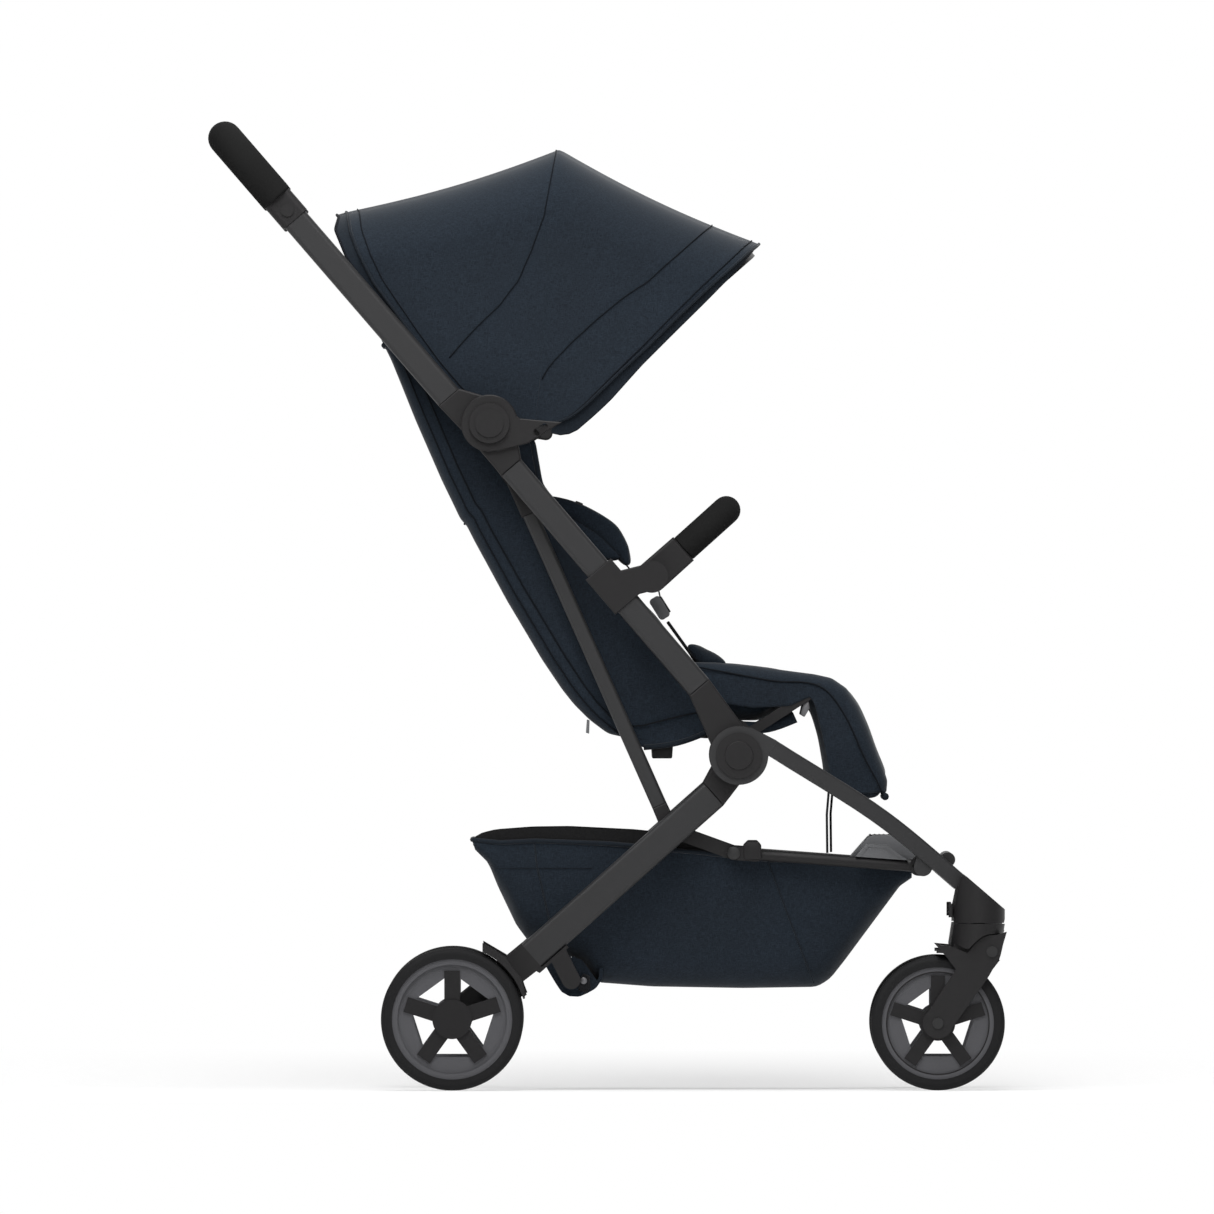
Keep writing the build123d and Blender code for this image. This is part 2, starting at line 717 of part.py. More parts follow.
def leg_edge(offset):
    """Points of the leg's curve in its leaning plane, moved sideways by an offset."""
    return [leaning(p) for p in moved_aside(leg_line, offset)]


rail_lug_layer = link_layer + link_width
with BuildPart() as front_legs:
    with BuildSketch(lean_plane):
        with BuildLine():
            upper_edge = Spline(*leg_edge(front_leg_depth / 2))
            lower_edge = Spline(*leg_edge(-front_leg_depth / 2))
            Line(upper_edge @ 0, lower_edge @ 0)
            Line(upper_edge @ 1, lower_edge @ 1)
        make_face()
    extrude(amount=-front_leg_width)
    fillet(front_legs.edges().group_by(SortBy.LENGTH)[-1], 2.5)
    with BuildSketch(side(ring_layer)):
        disc(lower_hub, hub_r + 1)
        outline([
            shifted(lower_hub, 12, hub_r),
            beside(leg_start, leg_line[1], 0.5, front_leg_depth / 2),
            beside(leg_start, leg_line[1], 0.5, -front_leg_depth / 2),
            shifted(lower_hub, 22, -20),
        ])
        disc(lower_hub, pin_r + running, Mode.SUBTRACT)
    extrude(amount=front_leg_width)
    with BuildSketch(side(rail_lug_layer + 0.3)):
        link(rail_pivot, shifted(rail_pivot, 4, 10), 20)
    extrude(amount=18)
    with BuildSketch(side(link_layer - 1.5)):
        disc(rail_pivot, 3)
    extrude(amount=link_width + 3)
    with BuildSketch(side(link_layer - 2.5)):
        disc(rail_pivot, 5.5)
    extrude(amount=1.7)
    mirror(about=Plane.XZ)
save(front_legs, "front_legs")

# Housings that hold the casters' stems.
housing_bottom = fork_pivot[1] + 31.3
stem_r = 7.0
housing_at = (caster_x, -caster_layer)
with BuildPart() as front_housings:
    with BuildSketch(Plane.XY.offset(housing_bottom)):
        with Locations(housing_at):
            Circle(housing_r)
    extrude(amount=62)
    with BuildSketch(side(caster_layer - housing_r)):
        outline([
            (caster_x - housing_r - 2, housing_bottom),
            (caster_x + housing_r - 1, housing_bottom),
            (caster_x + housing_r + 2, housing_bottom + 13),
            (caster_x - 13, housing_bottom + 50),
            (caster_x - 19, housing_bottom + 54),
            (caster_x - housing_r + 4, housing_bottom + 34),
            (caster_x - housing_r - 1, housing_bottom + 10),
        ])
    extrude(amount=2 * housing_r, mode=Mode.INTERSECT)
    fillet(front_housings.edges().group_by(Axis.Z)[-1], 4)
    with BuildSketch(Plane.XY.offset(housing_bottom)):
        with Locations(housing_at):
            Circle(stem_r + running)
    extrude(amount=30, mode=Mode.SUBTRACT)
    mirror(about=Plane.XZ)
    add(front_legs.part, mode=Mode.SUBTRACT)
save(front_housings, "front_housings")

with BuildPart() as front_cross_bar:
    with BuildSketch(side(-caster_layer)):
        disc(front_bar_at, cross_tube_r - 1)
    extrude(amount=2 * caster_layer)
    add(front_legs.part, mode=Mode.SUBTRACT)
    add(front_housings.part, mode=Mode.SUBTRACT)
save(front_cross_bar, "front_cross_bar")

# ==== casters ====
head_bottom = housing_bottom - 13.8
head_top = housing_bottom - 1.0
lug_half = 8.0
wheel_half = 13.0
arm_inner = 14.5
arm_outer = 21.5
front_rim_r = front_wheel_r - 12
boss_r = 10.0
head_lean = 7.5
head_foot = fork_pivot[1] - 18.0
with BuildPart() as swivel_head:
    with BuildSketch(Plane.XY.offset(head_foot)):
        with Locations((caster_x - head_lean, -caster_layer)):
            Circle(housing_r)
    with BuildSketch(Plane.XY.offset(head_top)):
        with Locations(housing_at):
            Circle(housing_r)
    loft(ruled=True)
    with BuildSketch(side(caster_layer - housing_r - 2)):
        outline([
            (caster_x - housing_r - 12, head_top),
            shifted(fork_pivot, -60, 12.5),
            shifted(fork_pivot, -46.5, 12.5),
            shifted(fork_pivot, -45, 5.2),
            shifted(fork_pivot, -26, -2.2),
            shifted(fork_pivot, -16, -4.5),
            shifted(fork_pivot, -11, -6),
            shifted(fork_pivot, 11, -6),
            shifted(fork_pivot, 26, 0),
            (caster_x + housing_r + 12, head_top),
        ])
    extrude(amount=2 * housing_r + 4, mode=Mode.INTERSECT)
    # The arms' pockets leave room for four degrees of suspension.
    for y in (caster_layer + lug_half, caster_layer - housing_r - 2):
        with BuildSketch(side(y)):
            disc(fork_pivot, boss_r + 1)
        extrude(amount=housing_r + 2 - lug_half, mode=Mode.SUBTRACT)
    for y in (caster_layer + arm_inner - open_gap, caster_layer - housing_r - 2):
        with BuildSketch(side(y)):
            outline([
                shifted(fork_pivot, -60, -20),
                shifted(fork_pivot, -60, 12.3),
                shifted(fork_pivot, -46.5, 11.6),
                shifted(fork_pivot, -41.5, 9.2),
                shifted(fork_pivot, -28.5, 3),
                shifted(fork_pivot, -24.5, 3.8),
                shifted(fork_pivot, -21.9, 6.8),
                shifted(fork_pivot, -16.7, 11.9),
                shifted(fork_pivot, -10.5, 16.6),
                shifted(fork_pivot, -3.1, 19.2),
                shifted(fork_pivot, 5, 19.5),
                shifted(fork_pivot, 20, 24),
                shifted(fork_pivot, 20, -20),
            ])
        extrude(amount=housing_r + 2 - arm_inner + open_gap, mode=Mode.SUBTRACT)
    with BuildSketch(Plane.XY.offset(head_top)):
        with Locations(housing_at):
            Circle(stem_r)
    extrude(amount=28)
    with BuildSketch(side(caster_layer - lug_half)):
        disc(fork_pivot, boss_r)
    extrude(amount=2 * lug_half)
    with BuildSketch(side(caster_layer - lug_half)):
        disc(fork_pivot, axle_r + running)
    extrude(amount=2 * lug_half, mode=Mode.SUBTRACT)
save_pair(swivel_head, "swivel_head")

fork_guard_r = front_wheel_r + 3.5
guard_shell = 3.5
with BuildPart() as fork:
    for y in (caster_layer + arm_inner, caster_layer - arm_outer):
        with BuildSketch(side(y)):
            outline([
                beside(front_axle, fork_pivot, 0, -15.5),
                shifted(fork_pivot, -5, -29),
                shifted(fork_pivot, 0.5, -19.5),
                shifted(fork_pivot, 7, -11),
                shifted(fork_pivot, 9.5, -3),
                shifted(fork_pivot, 12, 8),
                shifted(fork_pivot, 16, 21.5),
                shifted(fork_pivot, 5, 18.2),
                shifted(fork_pivot, -3, 18),
                shifted(fork_pivot, -10, 15.5),
                shifted(fork_pivot, -16, 11),
                shifted(fork_pivot, -21, 6),
                shifted(fork_pivot, -28, -3),
                shifted(fork_pivot, -50, -35),
                beside(front_axle, fork_pivot, 0, 15.5),
            ])
            outline([
                shifted(front_axle, -2, fork_guard_r + 8.8),
                shifted(front_axle, 14, fork_guard_r + 7.4),
                shifted(front_axle, 33, fork_guard_r - 0.3),
                shifted(front_axle, 38, fork_guard_r - 8),
                shifted(front_axle, 30, fork_guard_r - 22),
                shifted(front_axle, 20, fork_guard_r - 18.5),
                shifted(front_axle, 8, fork_guard_r - 2.5),
            ])
            disc(front_axle, 16.5)
        extrude(amount=arm_outer - arm_inner)
    for y in (caster_layer + lug_half + 0.4, caster_layer - arm_inner):
        with BuildSketch(side(y)):
            disc(fork_pivot, boss_r)
        extrude(amount=arm_inner - lug_half - 0.4)
    # Guard over the tyre, with its brow, and the wall that joins the arms in front.
    with BuildSketch(side(caster_layer - arm_outer)):
        disc(front_axle, fork_guard_r + guard_shell)
        disc(front_axle, fork_guard_r, Mode.SUBTRACT)
        outline([
            front_axle,
            turned(shifted(front_axle, 150, 0), front_axle, 44),
            turned(shifted(front_axle, 190, 0), front_axle, 68),
            turned(shifted(front_axle, 150, 0), front_axle, 91),
        ], Mode.INTERSECT)
    extrude(amount=2 * arm_outer)
    with BuildSketch(side(caster_layer - arm_outer)):
        outline([
            shifted(front_axle, -2, fork_guard_r + 8.8),
            shifted(front_axle, 10, fork_guard_r + 7.8),
            shifted(front_axle, 14, fork_guard_r + 2.5),
            shifted(front_axle, 30, fork_guard_r - 3),
            shifted(front_axle, 8, fork_guard_r - 2.5),
        ])
        outline([
            shifted(fork_pivot, 0.5, -19.5),
            shifted(fork_pivot, 7, -11),
            shifted(fork_pivot, 8.6, -9),
            shifted(fork_pivot, 2, -12.5),
            shifted(fork_pivot, -8, -14),
            shifted(fork_pivot, -14, -17),
            shifted(fork_pivot, -14, -26),
            shifted(fork_pivot, -4, -27.5),
        ])
        disc(front_axle, fork_guard_r, Mode.SUBTRACT)
    extrude(amount=2 * arm_outer)
    for y in (caster_layer + arm_inner, caster_layer - arm_outer):
        with BuildSketch(side(y)):
            disc(front_axle, axle_r)
        extrude(amount=arm_outer - arm_inner, mode=Mode.SUBTRACT)
# Bolts of each fork: the suspension pivot and the axle.
with BuildPart() as fork_bolts:
    for centre, radius in ((fork_pivot, axle_r), (front_axle, axle_r)):
        with BuildSketch(side(caster_layer - arm_outer)):
            disc(centre, radius)
        extrude(amount=2 * arm_outer)
        for y in (caster_layer + arm_outer, caster_layer - arm_outer - 2):
            with BuildSketch(side(y)):
                disc(centre, 6.0)
            extrude(amount=2)
with BuildPart() as fork_bored:
    add(fork.part)
    add(fork_bolts.part, mode=Mode.SUBTRACT)
save_pair(fork_bored, "fork")
save_pair(fork_bolts, "fork_bolts")

front_wheel_layer = caster_layer - wheel_half
save_pair(
    tyre(front_axle, front_wheel_layer, 2 * wheel_half, front_wheel_r, front_rim_r), "front_tyre"
)
front_wheel = spoked_wheel(
    front_axle, front_wheel_layer, 2 * wheel_half, front_rim_r, 55.0, 15.0, 36.0, 19.0, wheel_bore, True
)
save_pair(front_wheel, "front_wheel")

# Swivel locks: tabs on the backs of the housings that slide up to free the casters.
lock_height = 15.0
with BuildPart() as swivel_lock:
    with BuildSketch(Plane.XY.offset(housing_bottom + 6)):
        with Locations((caster_x - housing_r - 2.8, -caster_layer)):
            RectangleRounded(5, 14, 1.5)
    extrude(amount=lock_height)
    fillet(swivel_lock.edges().group_by(Axis.Z)[-1], 1)
save_pair(swivel_lock, "swivel_lock")

# ==== seat frame: side rails on the cross tube, and the leg rest's hinge rod ====
rail_width = 7.0
seat_rail_depth = 11.0
rail_knees = [
    recline_pivot,
    shifted(lower_hub, -36, 24),
    shifted(lower_hub, 14, 26),
    leg_rest_pivot,
]
with BuildPart() as seat_frame:
    with BuildSketch(side(seat_rail_layer)):
        for start, end in zip(rail_knees, rail_knees[1:]):
            link(start, end, seat_rail_depth)
        link(shifted(lower_hub, 0, 26), lower_hub, 24)
        disc(recline_pivot, 8)
        disc(lower_hub, cross_tube_r, Mode.SUBTRACT)
    extrude(amount=rail_width)
    mirror(about=Plane.XZ)
    with BuildSketch(side(-seat_rail_layer - 1)):
        disc(leg_rest_pivot, rod_r)
    extrude(amount=2 * seat_rail_layer + 2)
    with BuildSketch(side(-seat_half + 1)):
        disc(recline_pivot, rod_r)
    extrude(amount=2 * seat_half - 2)
save(seat_frame, "seat_frame")

# Seat cushion, hollowed at its front end for the leg rest's hinge.
hinge_roll_r = 15.5
cushion_half = seat_half - 12.0
with BuildPart() as seat_cushion:
    with BuildSketch(side(-cushion_half)):
        outline([
            shifted(recline_pivot, 10, 20),
            shifted(recline_pivot, 12, 44),
            shifted(recline_pivot, 44, 58),
            shifted(lower_hub, -10, 98),
            shifted(leg_rest_pivot, -26, 17),
            shifted(leg_rest_pivot, -4, 16.5),
            shifted(leg_rest_pivot, -4, -9),
            shifted(leg_rest_pivot, -30, -12),
            shifted(lower_hub, 24, 40),
        ])
        disc(leg_rest_pivot, hinge_roll_r + 0.8, Mode.SUBTRACT)
    extrude(amount=2 * cushion_half)
    fillet(seat_cushion.faces().filter_by(Axis.Y).edges().group_by(SortBy.LENGTH)[-1], 4)
    add(seat_frame.part, mode=Mode.SUBTRACT)
save(seat_cushion, "seat_cushion")

# Leg rest: a padded board that hangs from the hinge rod.
with BuildPart() as leg_rest:
    with BuildSketch(side(-leg_rest_half)):
        disc(leg_rest_pivot, hinge_roll_r)
        outline([
            shifted(leg_rest_pivot, 0, hinge_roll_r),
            shifted(leg_rest_pivot, 17, 9),
            shifted(leg_rest_pivot, 31, -2),
            shifted(leg_rest_pivot, 44, -20),
            shifted(leg_rest_pivot, 54, -43),
            shifted(leg_rest_pivot, 64, -72),
            shifted(leg_rest_pivot, 74, -92),
            shifted(leg_rest_pivot, 76, -104),
            shifted(leg_rest_pivot, 71, -125),
            shifted(leg_rest_pivot, 30, -122),
            shifted(leg_rest_pivot, 9, -110),
            shifted(leg_rest_pivot, 9, -87),
            shifted(leg_rest_pivot, -5, -22),
            shifted(leg_rest_pivot, -hinge_roll_r, 0),
        ])
        disc(leg_rest_pivot, rod_r + running, Mode.SUBTRACT)
    extrude(amount=2 * leg_rest_half)
save(leg_rest, "leg_rest")

# ==== reclining back: a curved panel with side wings, on a rod ====
panel_depth = 15.0
wing_width = 9.0
back_rear = [
    shifted(recline_pivot, -20, -6),
    shifted(recline_pivot, -54.5, 25.5),
    shifted(recline_pivot, -89.5, 74),
    shifted(recline_pivot, -147, 172),
    shifted(recline_pivot, -199, 270),
    shifted(recline_pivot, -240.5, 368),
    shifted(recline_pivot, -262, 417),
]
back_front = [
    shifted(upper_hub, -112, 93),
    shifted(upper_hub, -48, 80),
    shifted(upper_hub, 2, 40),
    shifted(upper_hub, 45, -11),
    shifted(upper_hub, 54, -64),
    shifted(main_top, 84, -92),
    shifted(main_foot, -12, 26),
    shifted(lower_hub, -30, 52),
    shifted(lower_hub, -24, 29),
    shifted(lower_hub, -45, 19.5),
    shifted(lower_hub, -75, 10.5),
    shifted(lower_hub, -103, 8.5),
]
with BuildPart() as seat_back:
    with BuildSketch(side(-seat_half)):
        with BuildLine():
            rear_curve = Spline(*back_rear)
            Polyline(rear_curve @ 1, *back_front, rear_curve @ 0)
        make_face()
    extrude(amount=2 * seat_half)
    with BuildSketch(side(-seat_half + wing_width)):
        with BuildLine():
            panel_face = Spline(*moved_aside(back_rear, -panel_depth))
            Polyline(
                panel_face @ 1,
                shifted(upper_hub, -60, 140),
                shifted(upper_hub, 200, 100),
                shifted(lower_hub, 80, 100),
                shifted(lower_hub, 80, -60),
                shifted(recline_pivot, -3, -60),
                panel_face @ 0,
            )
        make_face()
        disc(recline_pivot, 10)
    extrude(amount=2 * (seat_half - wing_width), mode=Mode.SUBTRACT)
    with BuildSketch(side(-seat_half)):
        disc(recline_pivot, rod_r + running)
    extrude(amount=2 * seat_half, mode=Mode.SUBTRACT)
save(seat_back, "seat_back")

# ==== harness ====
pad_inner, pad_width = 34.0, 42.0
pad_line = [
    shifted(main_top, 38, -36),
    shifted(main_top, 76, -41),
    shifted(main_top, 103, -60),
    shifted(main_top, 122, -86),
    shifted(main_top, 124, -108),
]
with BuildPart() as harness_pads:
    with BuildSketch(side(pad_inner)):
        outline(moved_aside(pad_line, 7) + moved_aside(pad_line, -7)[::-1])
    extrude(amount=pad_width)
    mirror(about=Plane.XZ)
save(harness_pads, "harness_pads")

buckle_at = (58.5, 525.0)
buckle_half = 24.0
strap_depth = 2.4
strap_inner, strap_width = pad_inner + 8, 26.0
shoulder_line = [
    shifted(recline_pivot, -187, 270),
    shifted(recline_pivot, -152, 272),
    shifted(pad_line[0], -0.5, 0.5),
]
waist_line = [shifted(pad_line[-1], 0, -0.6), shifted(buckle_at, 0, 20)]
with BuildPart() as harness_straps:
    with BuildSketch(side(strap_inner)):
        for line in (shoulder_line, waist_line):
            outline(moved_aside(line, strap_depth / 2) + moved_aside(line, -strap_depth / 2)[::-1])
    extrude(amount=strap_width)
    mirror(about=Plane.XZ)
    add(seat_back.part, mode=Mode.SUBTRACT)
    add(harness_pads.part, mode=Mode.SUBTRACT)
save(harness_straps, "harness_straps")

with BuildPart() as crotch_strap:
    crotch_line = [
        shifted(buckle_at, 7.2, -11.6),
        shifted(buckle_at, 18, -28),
        shifted(buckle_at, 32, -48),
        shifted(buckle_at, 44, -66),
    ]
    with BuildSketch(side(-16)):
        outline(moved_aside(crotch_line, 2) + moved_aside(crotch_line, -2)[::-1])
    extrude(amount=32)
    add(seat_cushion.part, mode=Mode.SUBTRACT)
save(crotch_strap, "crotch_strap")

button_r = 10.0
buckle_tilt = 32.0
buckle_plane = Plane(
    origin=(buckle_at[0], 0, buckle_at[1]),
    x_dir=(0, 1, 0),
    z_dir=(cos(radians(buckle_tilt)), 0, sin(radians(buckle_tilt))),
)
with BuildPart() as buckle:
    with BuildSketch(side(-buckle_half)):
        with Locations(buckle_at):
            Rectangle(13, 26, rotation=buckle_tilt)
    extrude(amount=2 * buckle_half)
    fillet(buckle.edges().filter_by(Axis.Y), 4)
    with BuildSketch(buckle_plane.offset(0.5)):
        Circle(button_r + 0.3)
    extrude(amount=10, mode=Mode.SUBTRACT)
save(buckle, "buckle")

button_travel = 2.5
with BuildPart() as buckle_button:
    with BuildSketch(buckle_plane.offset(0.5 + button_travel + 0.3)):
        Circle(button_r)
    extrude(amount=5)
    fillet(buckle_button.edges().filter_by(GeomType.CIRCLE).group_by(Axis.X)[-1], 0.8)
save(buckle_button, "buckle_button")

# ==== bumper bar ====
clamp_wall = 2.5
clamp_at = along(main_top, main_foot, 170)
with BuildPart() as bumper_clamps:
    with BuildSketch(side(outer_layer - clamp_wall)):
        bar(along(clamp_at, main_top, 25), along(clamp_at, main_foot, 25), main_depth + 2 * clamp_wall + 3)
        link(clamp_at, bumper_pivot, 30)
        disc(bumper_pivot, 17.5)
    extrude(amount=outer_width + 2 * clamp_wall)
    fillet(bumper_clamps.faces().filter_by(Axis.Y).edges().filter_by(GeomType.LINE), 1.5)
    with BuildSketch(cross_plane(main_top, main_foot, outer_mid)):
        RectangleRounded(outer_width, main_depth, tube_corner)
    extrude(amount=spread(main_top, main_foot), mode=Mode.SUBTRACT)
    with BuildSketch(side(inner_layer)):
        disc(bumper_pivot, 12)
    extrude(amount=outer_layer - clamp_wall - inner_layer)
    with BuildSketch(side(bumper_half - 6)):
        disc(bumper_pivot, 5)
    extrude(amount=inner_layer - bumper_half + 6)
    mirror(about=Plane.XZ)
save(bumper_clamps, "bumper_clamps")

bumper_foot = along(bumper_pivot, shifted(bumper_pivot, 36, 32), 46)
with BuildPart() as bumper_grip:
    with BuildLine() as bumper_path:
        FilletPolyline(
            (bumper_foot[0], -bumper_half, bumper_foot[1]),
            (bumper_top[0], -bumper_half, bumper_top[1]),
            (bumper_top[0], bumper_half, bumper_top[1]),
            (bumper_foot[0], bumper_half, bumper_foot[1]),
            radius=bumper_corner,
        )
    with BuildSketch(cross_plane(bumper_foot, bumper_top, bumper_half)):
        Circle(bumper_r)
    sweep()
save(bumper_grip, "bumper_grip")

with BuildPart() as bumper_arms:
    with BuildSketch(side(bumper_half - 6)):
        disc(bumper_pivot, 17.5)
        outline([
            beside(bumper_pivot, bumper_foot, 0, 17.5),
            beside(bumper_pivot, bumper_foot, 0, -17.5),
            beside(bumper_foot, bumper_pivot, 0, 17.0),
            beside(bumper_foot, bumper_pivot, 0, -17.0),
        ])
        disc(bumper_pivot, 5 + running, Mode.SUBTRACT)
    extrude(amount=inner_layer - 0.5 - bumper_half + 6)
    fillet(bumper_arms.faces().filter_by(Axis.Y).edges().filter_by(GeomType.LINE), 3)
    mirror(about=Plane.XZ)
    add(bumper_grip.part, mode=Mode.SUBTRACT)
save(bumper_arms, "bumper_arms")

# ==== canopy: three bows on one pivot, with a cover between each two ====
bow_half = canopy_half - 4.0
bow_depth, bow_wall = 10.0, 2.4
bow_corner = 78.0
canopy_rear = shifted(canopy_pivot, -221, 228)
canopy_mid = shifted(canopy_pivot, 12, 300)
canopy_front = shifted(canopy_pivot, 224, 196)
bow_gap = 0.4


def bow(tip, order):
    """Flat bow from the pivot over the seat and back, set in by its order."""
    half = bow_half - order * (bow_wall + bow_gap)
    foot = along(canopy_pivot, tip, 12)
    with BuildPart() as strip:
        with BuildLine() as path:
            FilletPolyline(
                (foot[0], -half, foot[1]), (tip[0], -half, tip[1]),
                (tip[0], half, tip[1]), (foot[0], half, foot[1]),
                radius=bow_corner - order * (bow_wall + bow_gap),
            )
        with BuildSketch(cross_plane(foot, tip, half)):
            Rectangle(bow_wall, bow_depth)
        sweep()
        with BuildSketch(side(half - bow_wall / 2)):
            link(canopy_pivot, foot, bow_depth)
            disc(canopy_pivot, bow_pin_r + running, Mode.SUBTRACT)
        extrude(amount=bow_wall)
        with BuildSketch(side(-half - bow_wall / 2)):
            link(canopy_pivot, foot, bow_depth)
            disc(canopy_pivot, bow_pin_r + running, Mode.SUBTRACT)
        extrude(amount=bow_wall)
    return strip


save(bow(canopy_rear, 0), "canopy_rear_bow")
save(bow(canopy_mid, 1), "canopy_middle_bow")
save(bow(canopy_front, 2), "canopy_front_bow")

# Covers: closed shells over the bows, open below and towards each other.
cover_wall = 2.2
cover_corner = 62.0
cover_lift = 6.0
rear_hem = shifted(canopy_pivot, -58, 30)
top_rear = shifted(canopy_rear, -8, cover_lift + 2)
top_mid = shifted(canopy_mid, 3, cover_lift)
top_front = shifted(canopy_front, 6, cover_lift)


def cover(corners):
    """Shell with a roof along its first two corners and a side wall each side."""
    roof_from, roof_to = corners[0], corners[1]
    with BuildPart() as outer:
        with BuildSketch(side(-canopy_half)):
            outline(corners)
        extrude(amount=2 * canopy_half)
        roof = outer.faces().filter_by(lambda f: abs(f.normal_at().Y) < 0.1).sort_by(Axis.Z)[-1]
        fillet(roof.edges().filter_by(lambda e: abs((e @ 0).Y - (e @ 1).Y) < 1), cover_corner)
    with BuildPart() as inner:
        with BuildSketch(side(-canopy_half + cover_wall)):
            outline([
                beside(roof_from, roof_to, -40, -cover_wall),
                beside(roof_from, roof_to, spread(roof_from, roof_to) + 40, -cover_wall),
                beside(roof_from, roof_to, spread(roof_from, roof_to) + 40, -420),
                beside(roof_from, roof_to, -40, -420),
            ])
        extrude(amount=2 * (canopy_half - cover_wall))
        inner_roof = inner.faces().filter_by(lambda f: abs(f.normal_at().Y) < 0.1).sort_by(Axis.Z)[-1]
        fillet(
            inner_roof.edges().filter_by(lambda e: abs((e @ 0).Y - (e @ 1).Y) < 1),
            cover_corner - cover_wall,
        )
    with BuildPart() as shell:
        add(outer.part)
        add(inner.part, mode=Mode.SUBTRACT)
    return shell


mid_foot = along(canopy_pivot, canopy_mid, 16)
canopy_rear_cover = cover([top_rear, top_mid, mid_foot, rear_hem])
save(canopy_rear_cover, "canopy_rear_cover")
canopy_front_cover = cover([
    shifted(top_mid, 0.4, 0),
    top_front,
    shifted(canopy_front, 18, -18),
    shifted(canopy_pivot, 106, 92),
    shifted(canopy_pivot, 44, 40),
    shifted(canopy_pivot, 10, 14),
    shifted(mid_foot, 0.4, 0),
])
save(canopy_front_cover, "canopy_front_cover")

# ==== basket: an open fabric tub under the seat ====
basket_wall = 3.0
rim_rear = shifted(elbow_pivot, -285, 15)
rim_front = shifted(rail_pivot, -12, -6.5)
basket_side = [
    rim_rear,
    shifted(elbow_pivot, -269, -9),
    shifted(elbow_pivot, -257, -36),
    shifted(elbow_pivot, -237, -78),
    shifted(rear_bar_at, -49, 44),
    shifted(rear_bar_at, 14, 19),
    shifted(rear_bar_at, 30, -5),
    shifted(rear_bar_at, 88, -8),
    shifted(rail_pivot, -118, -131),
    shifted(rail_pivot, -100, -121),
    shifted(rail_pivot, -65, -75),
    shifted(rail_pivot, -25, -21),
    shifted(rail_pivot, -12, -14),
    rim_front,
    shifted(elbow_pivot, 40, -9),
    shifted(elbow_pivot, -69, 9),
]
with BuildPart() as basket:
    with BuildSketch(side(-basket_half)):
        outline(basket_side)
    extrude(amount=2 * basket_half)
    with BuildSketch(side(-basket_half + basket_wall)):
        hollow = moved_aside(basket_side[:14], basket_wall)
        outline(
            [shifted(hollow[0], 0, 40)] + hollow[1:13] + [shifted(hollow[12], 0, 60)]
        )
    extrude(amount=2 * (basket_half - basket_wall), mode=Mode.SUBTRACT)
save(basket, "basket")
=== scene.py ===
"""Dressing for a compact folding baby stroller: fabrics, foam, trims, finishes and stage.

Metres, +X forward, +Y to the left, +Z up, as in the frame it is built on.
Points named in the side view are pairs (x, z).
"""
import json
from math import cos, hypot, pi, radians, sin

import bpy
from bpy.props import FloatProperty, FloatVectorProperty, PointerProperty
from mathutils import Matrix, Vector


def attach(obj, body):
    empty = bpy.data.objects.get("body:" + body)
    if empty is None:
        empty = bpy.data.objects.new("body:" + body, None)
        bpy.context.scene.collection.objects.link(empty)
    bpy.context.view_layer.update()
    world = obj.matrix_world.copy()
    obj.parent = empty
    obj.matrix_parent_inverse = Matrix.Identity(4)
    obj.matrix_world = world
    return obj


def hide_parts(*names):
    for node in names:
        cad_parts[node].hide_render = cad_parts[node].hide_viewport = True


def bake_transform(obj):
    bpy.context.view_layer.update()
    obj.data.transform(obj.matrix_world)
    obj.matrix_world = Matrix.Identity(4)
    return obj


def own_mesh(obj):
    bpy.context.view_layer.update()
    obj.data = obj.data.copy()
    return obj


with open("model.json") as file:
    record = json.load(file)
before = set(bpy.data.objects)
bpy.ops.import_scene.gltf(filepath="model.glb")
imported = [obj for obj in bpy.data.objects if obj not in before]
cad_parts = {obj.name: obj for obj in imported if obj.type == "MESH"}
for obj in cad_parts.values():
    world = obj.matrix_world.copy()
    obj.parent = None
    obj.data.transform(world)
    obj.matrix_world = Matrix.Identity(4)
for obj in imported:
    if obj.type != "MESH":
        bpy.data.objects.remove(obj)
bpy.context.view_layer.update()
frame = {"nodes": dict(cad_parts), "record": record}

bl_info = {
    "name": "Stroller dressing",
    "version": (1, 0, 0),
    "blender": (4, 5, 0),
    "location": "View3D > Sidebar > Stroller",
    "description": "Fabrics, foam, trims and finishes of a folding baby stroller",
    "category": "Object",
}

MM = 0.001
SIDES = ((-1, "right"), (1, "left"))
OWN = "stroller_"
CAMERA_DISTANCE = 60.0
PHOTO_WIDTH = 1.3208
SWEEP_START = 0.28
CANOPY_HALF, CANOPY_HEIGHT, CANOPY_CORNER = 0.1705, 0.285, 0.064
CANOPY_INSIDE = (-0.06, 0, 0.80)
BACK_HALF = 0.1478
FOLD_SLOPE = 0.10


def mm(*pairs):
    """Side-view points given in millimetres."""
    return [(x * MM, z * MM) for x, z in pairs]


def shade(red, green, blue):
    """Linear colour from the 0 to 255 values of a paint card."""
    return tuple((c / 255) ** 2.2 for c in (red, green, blue))


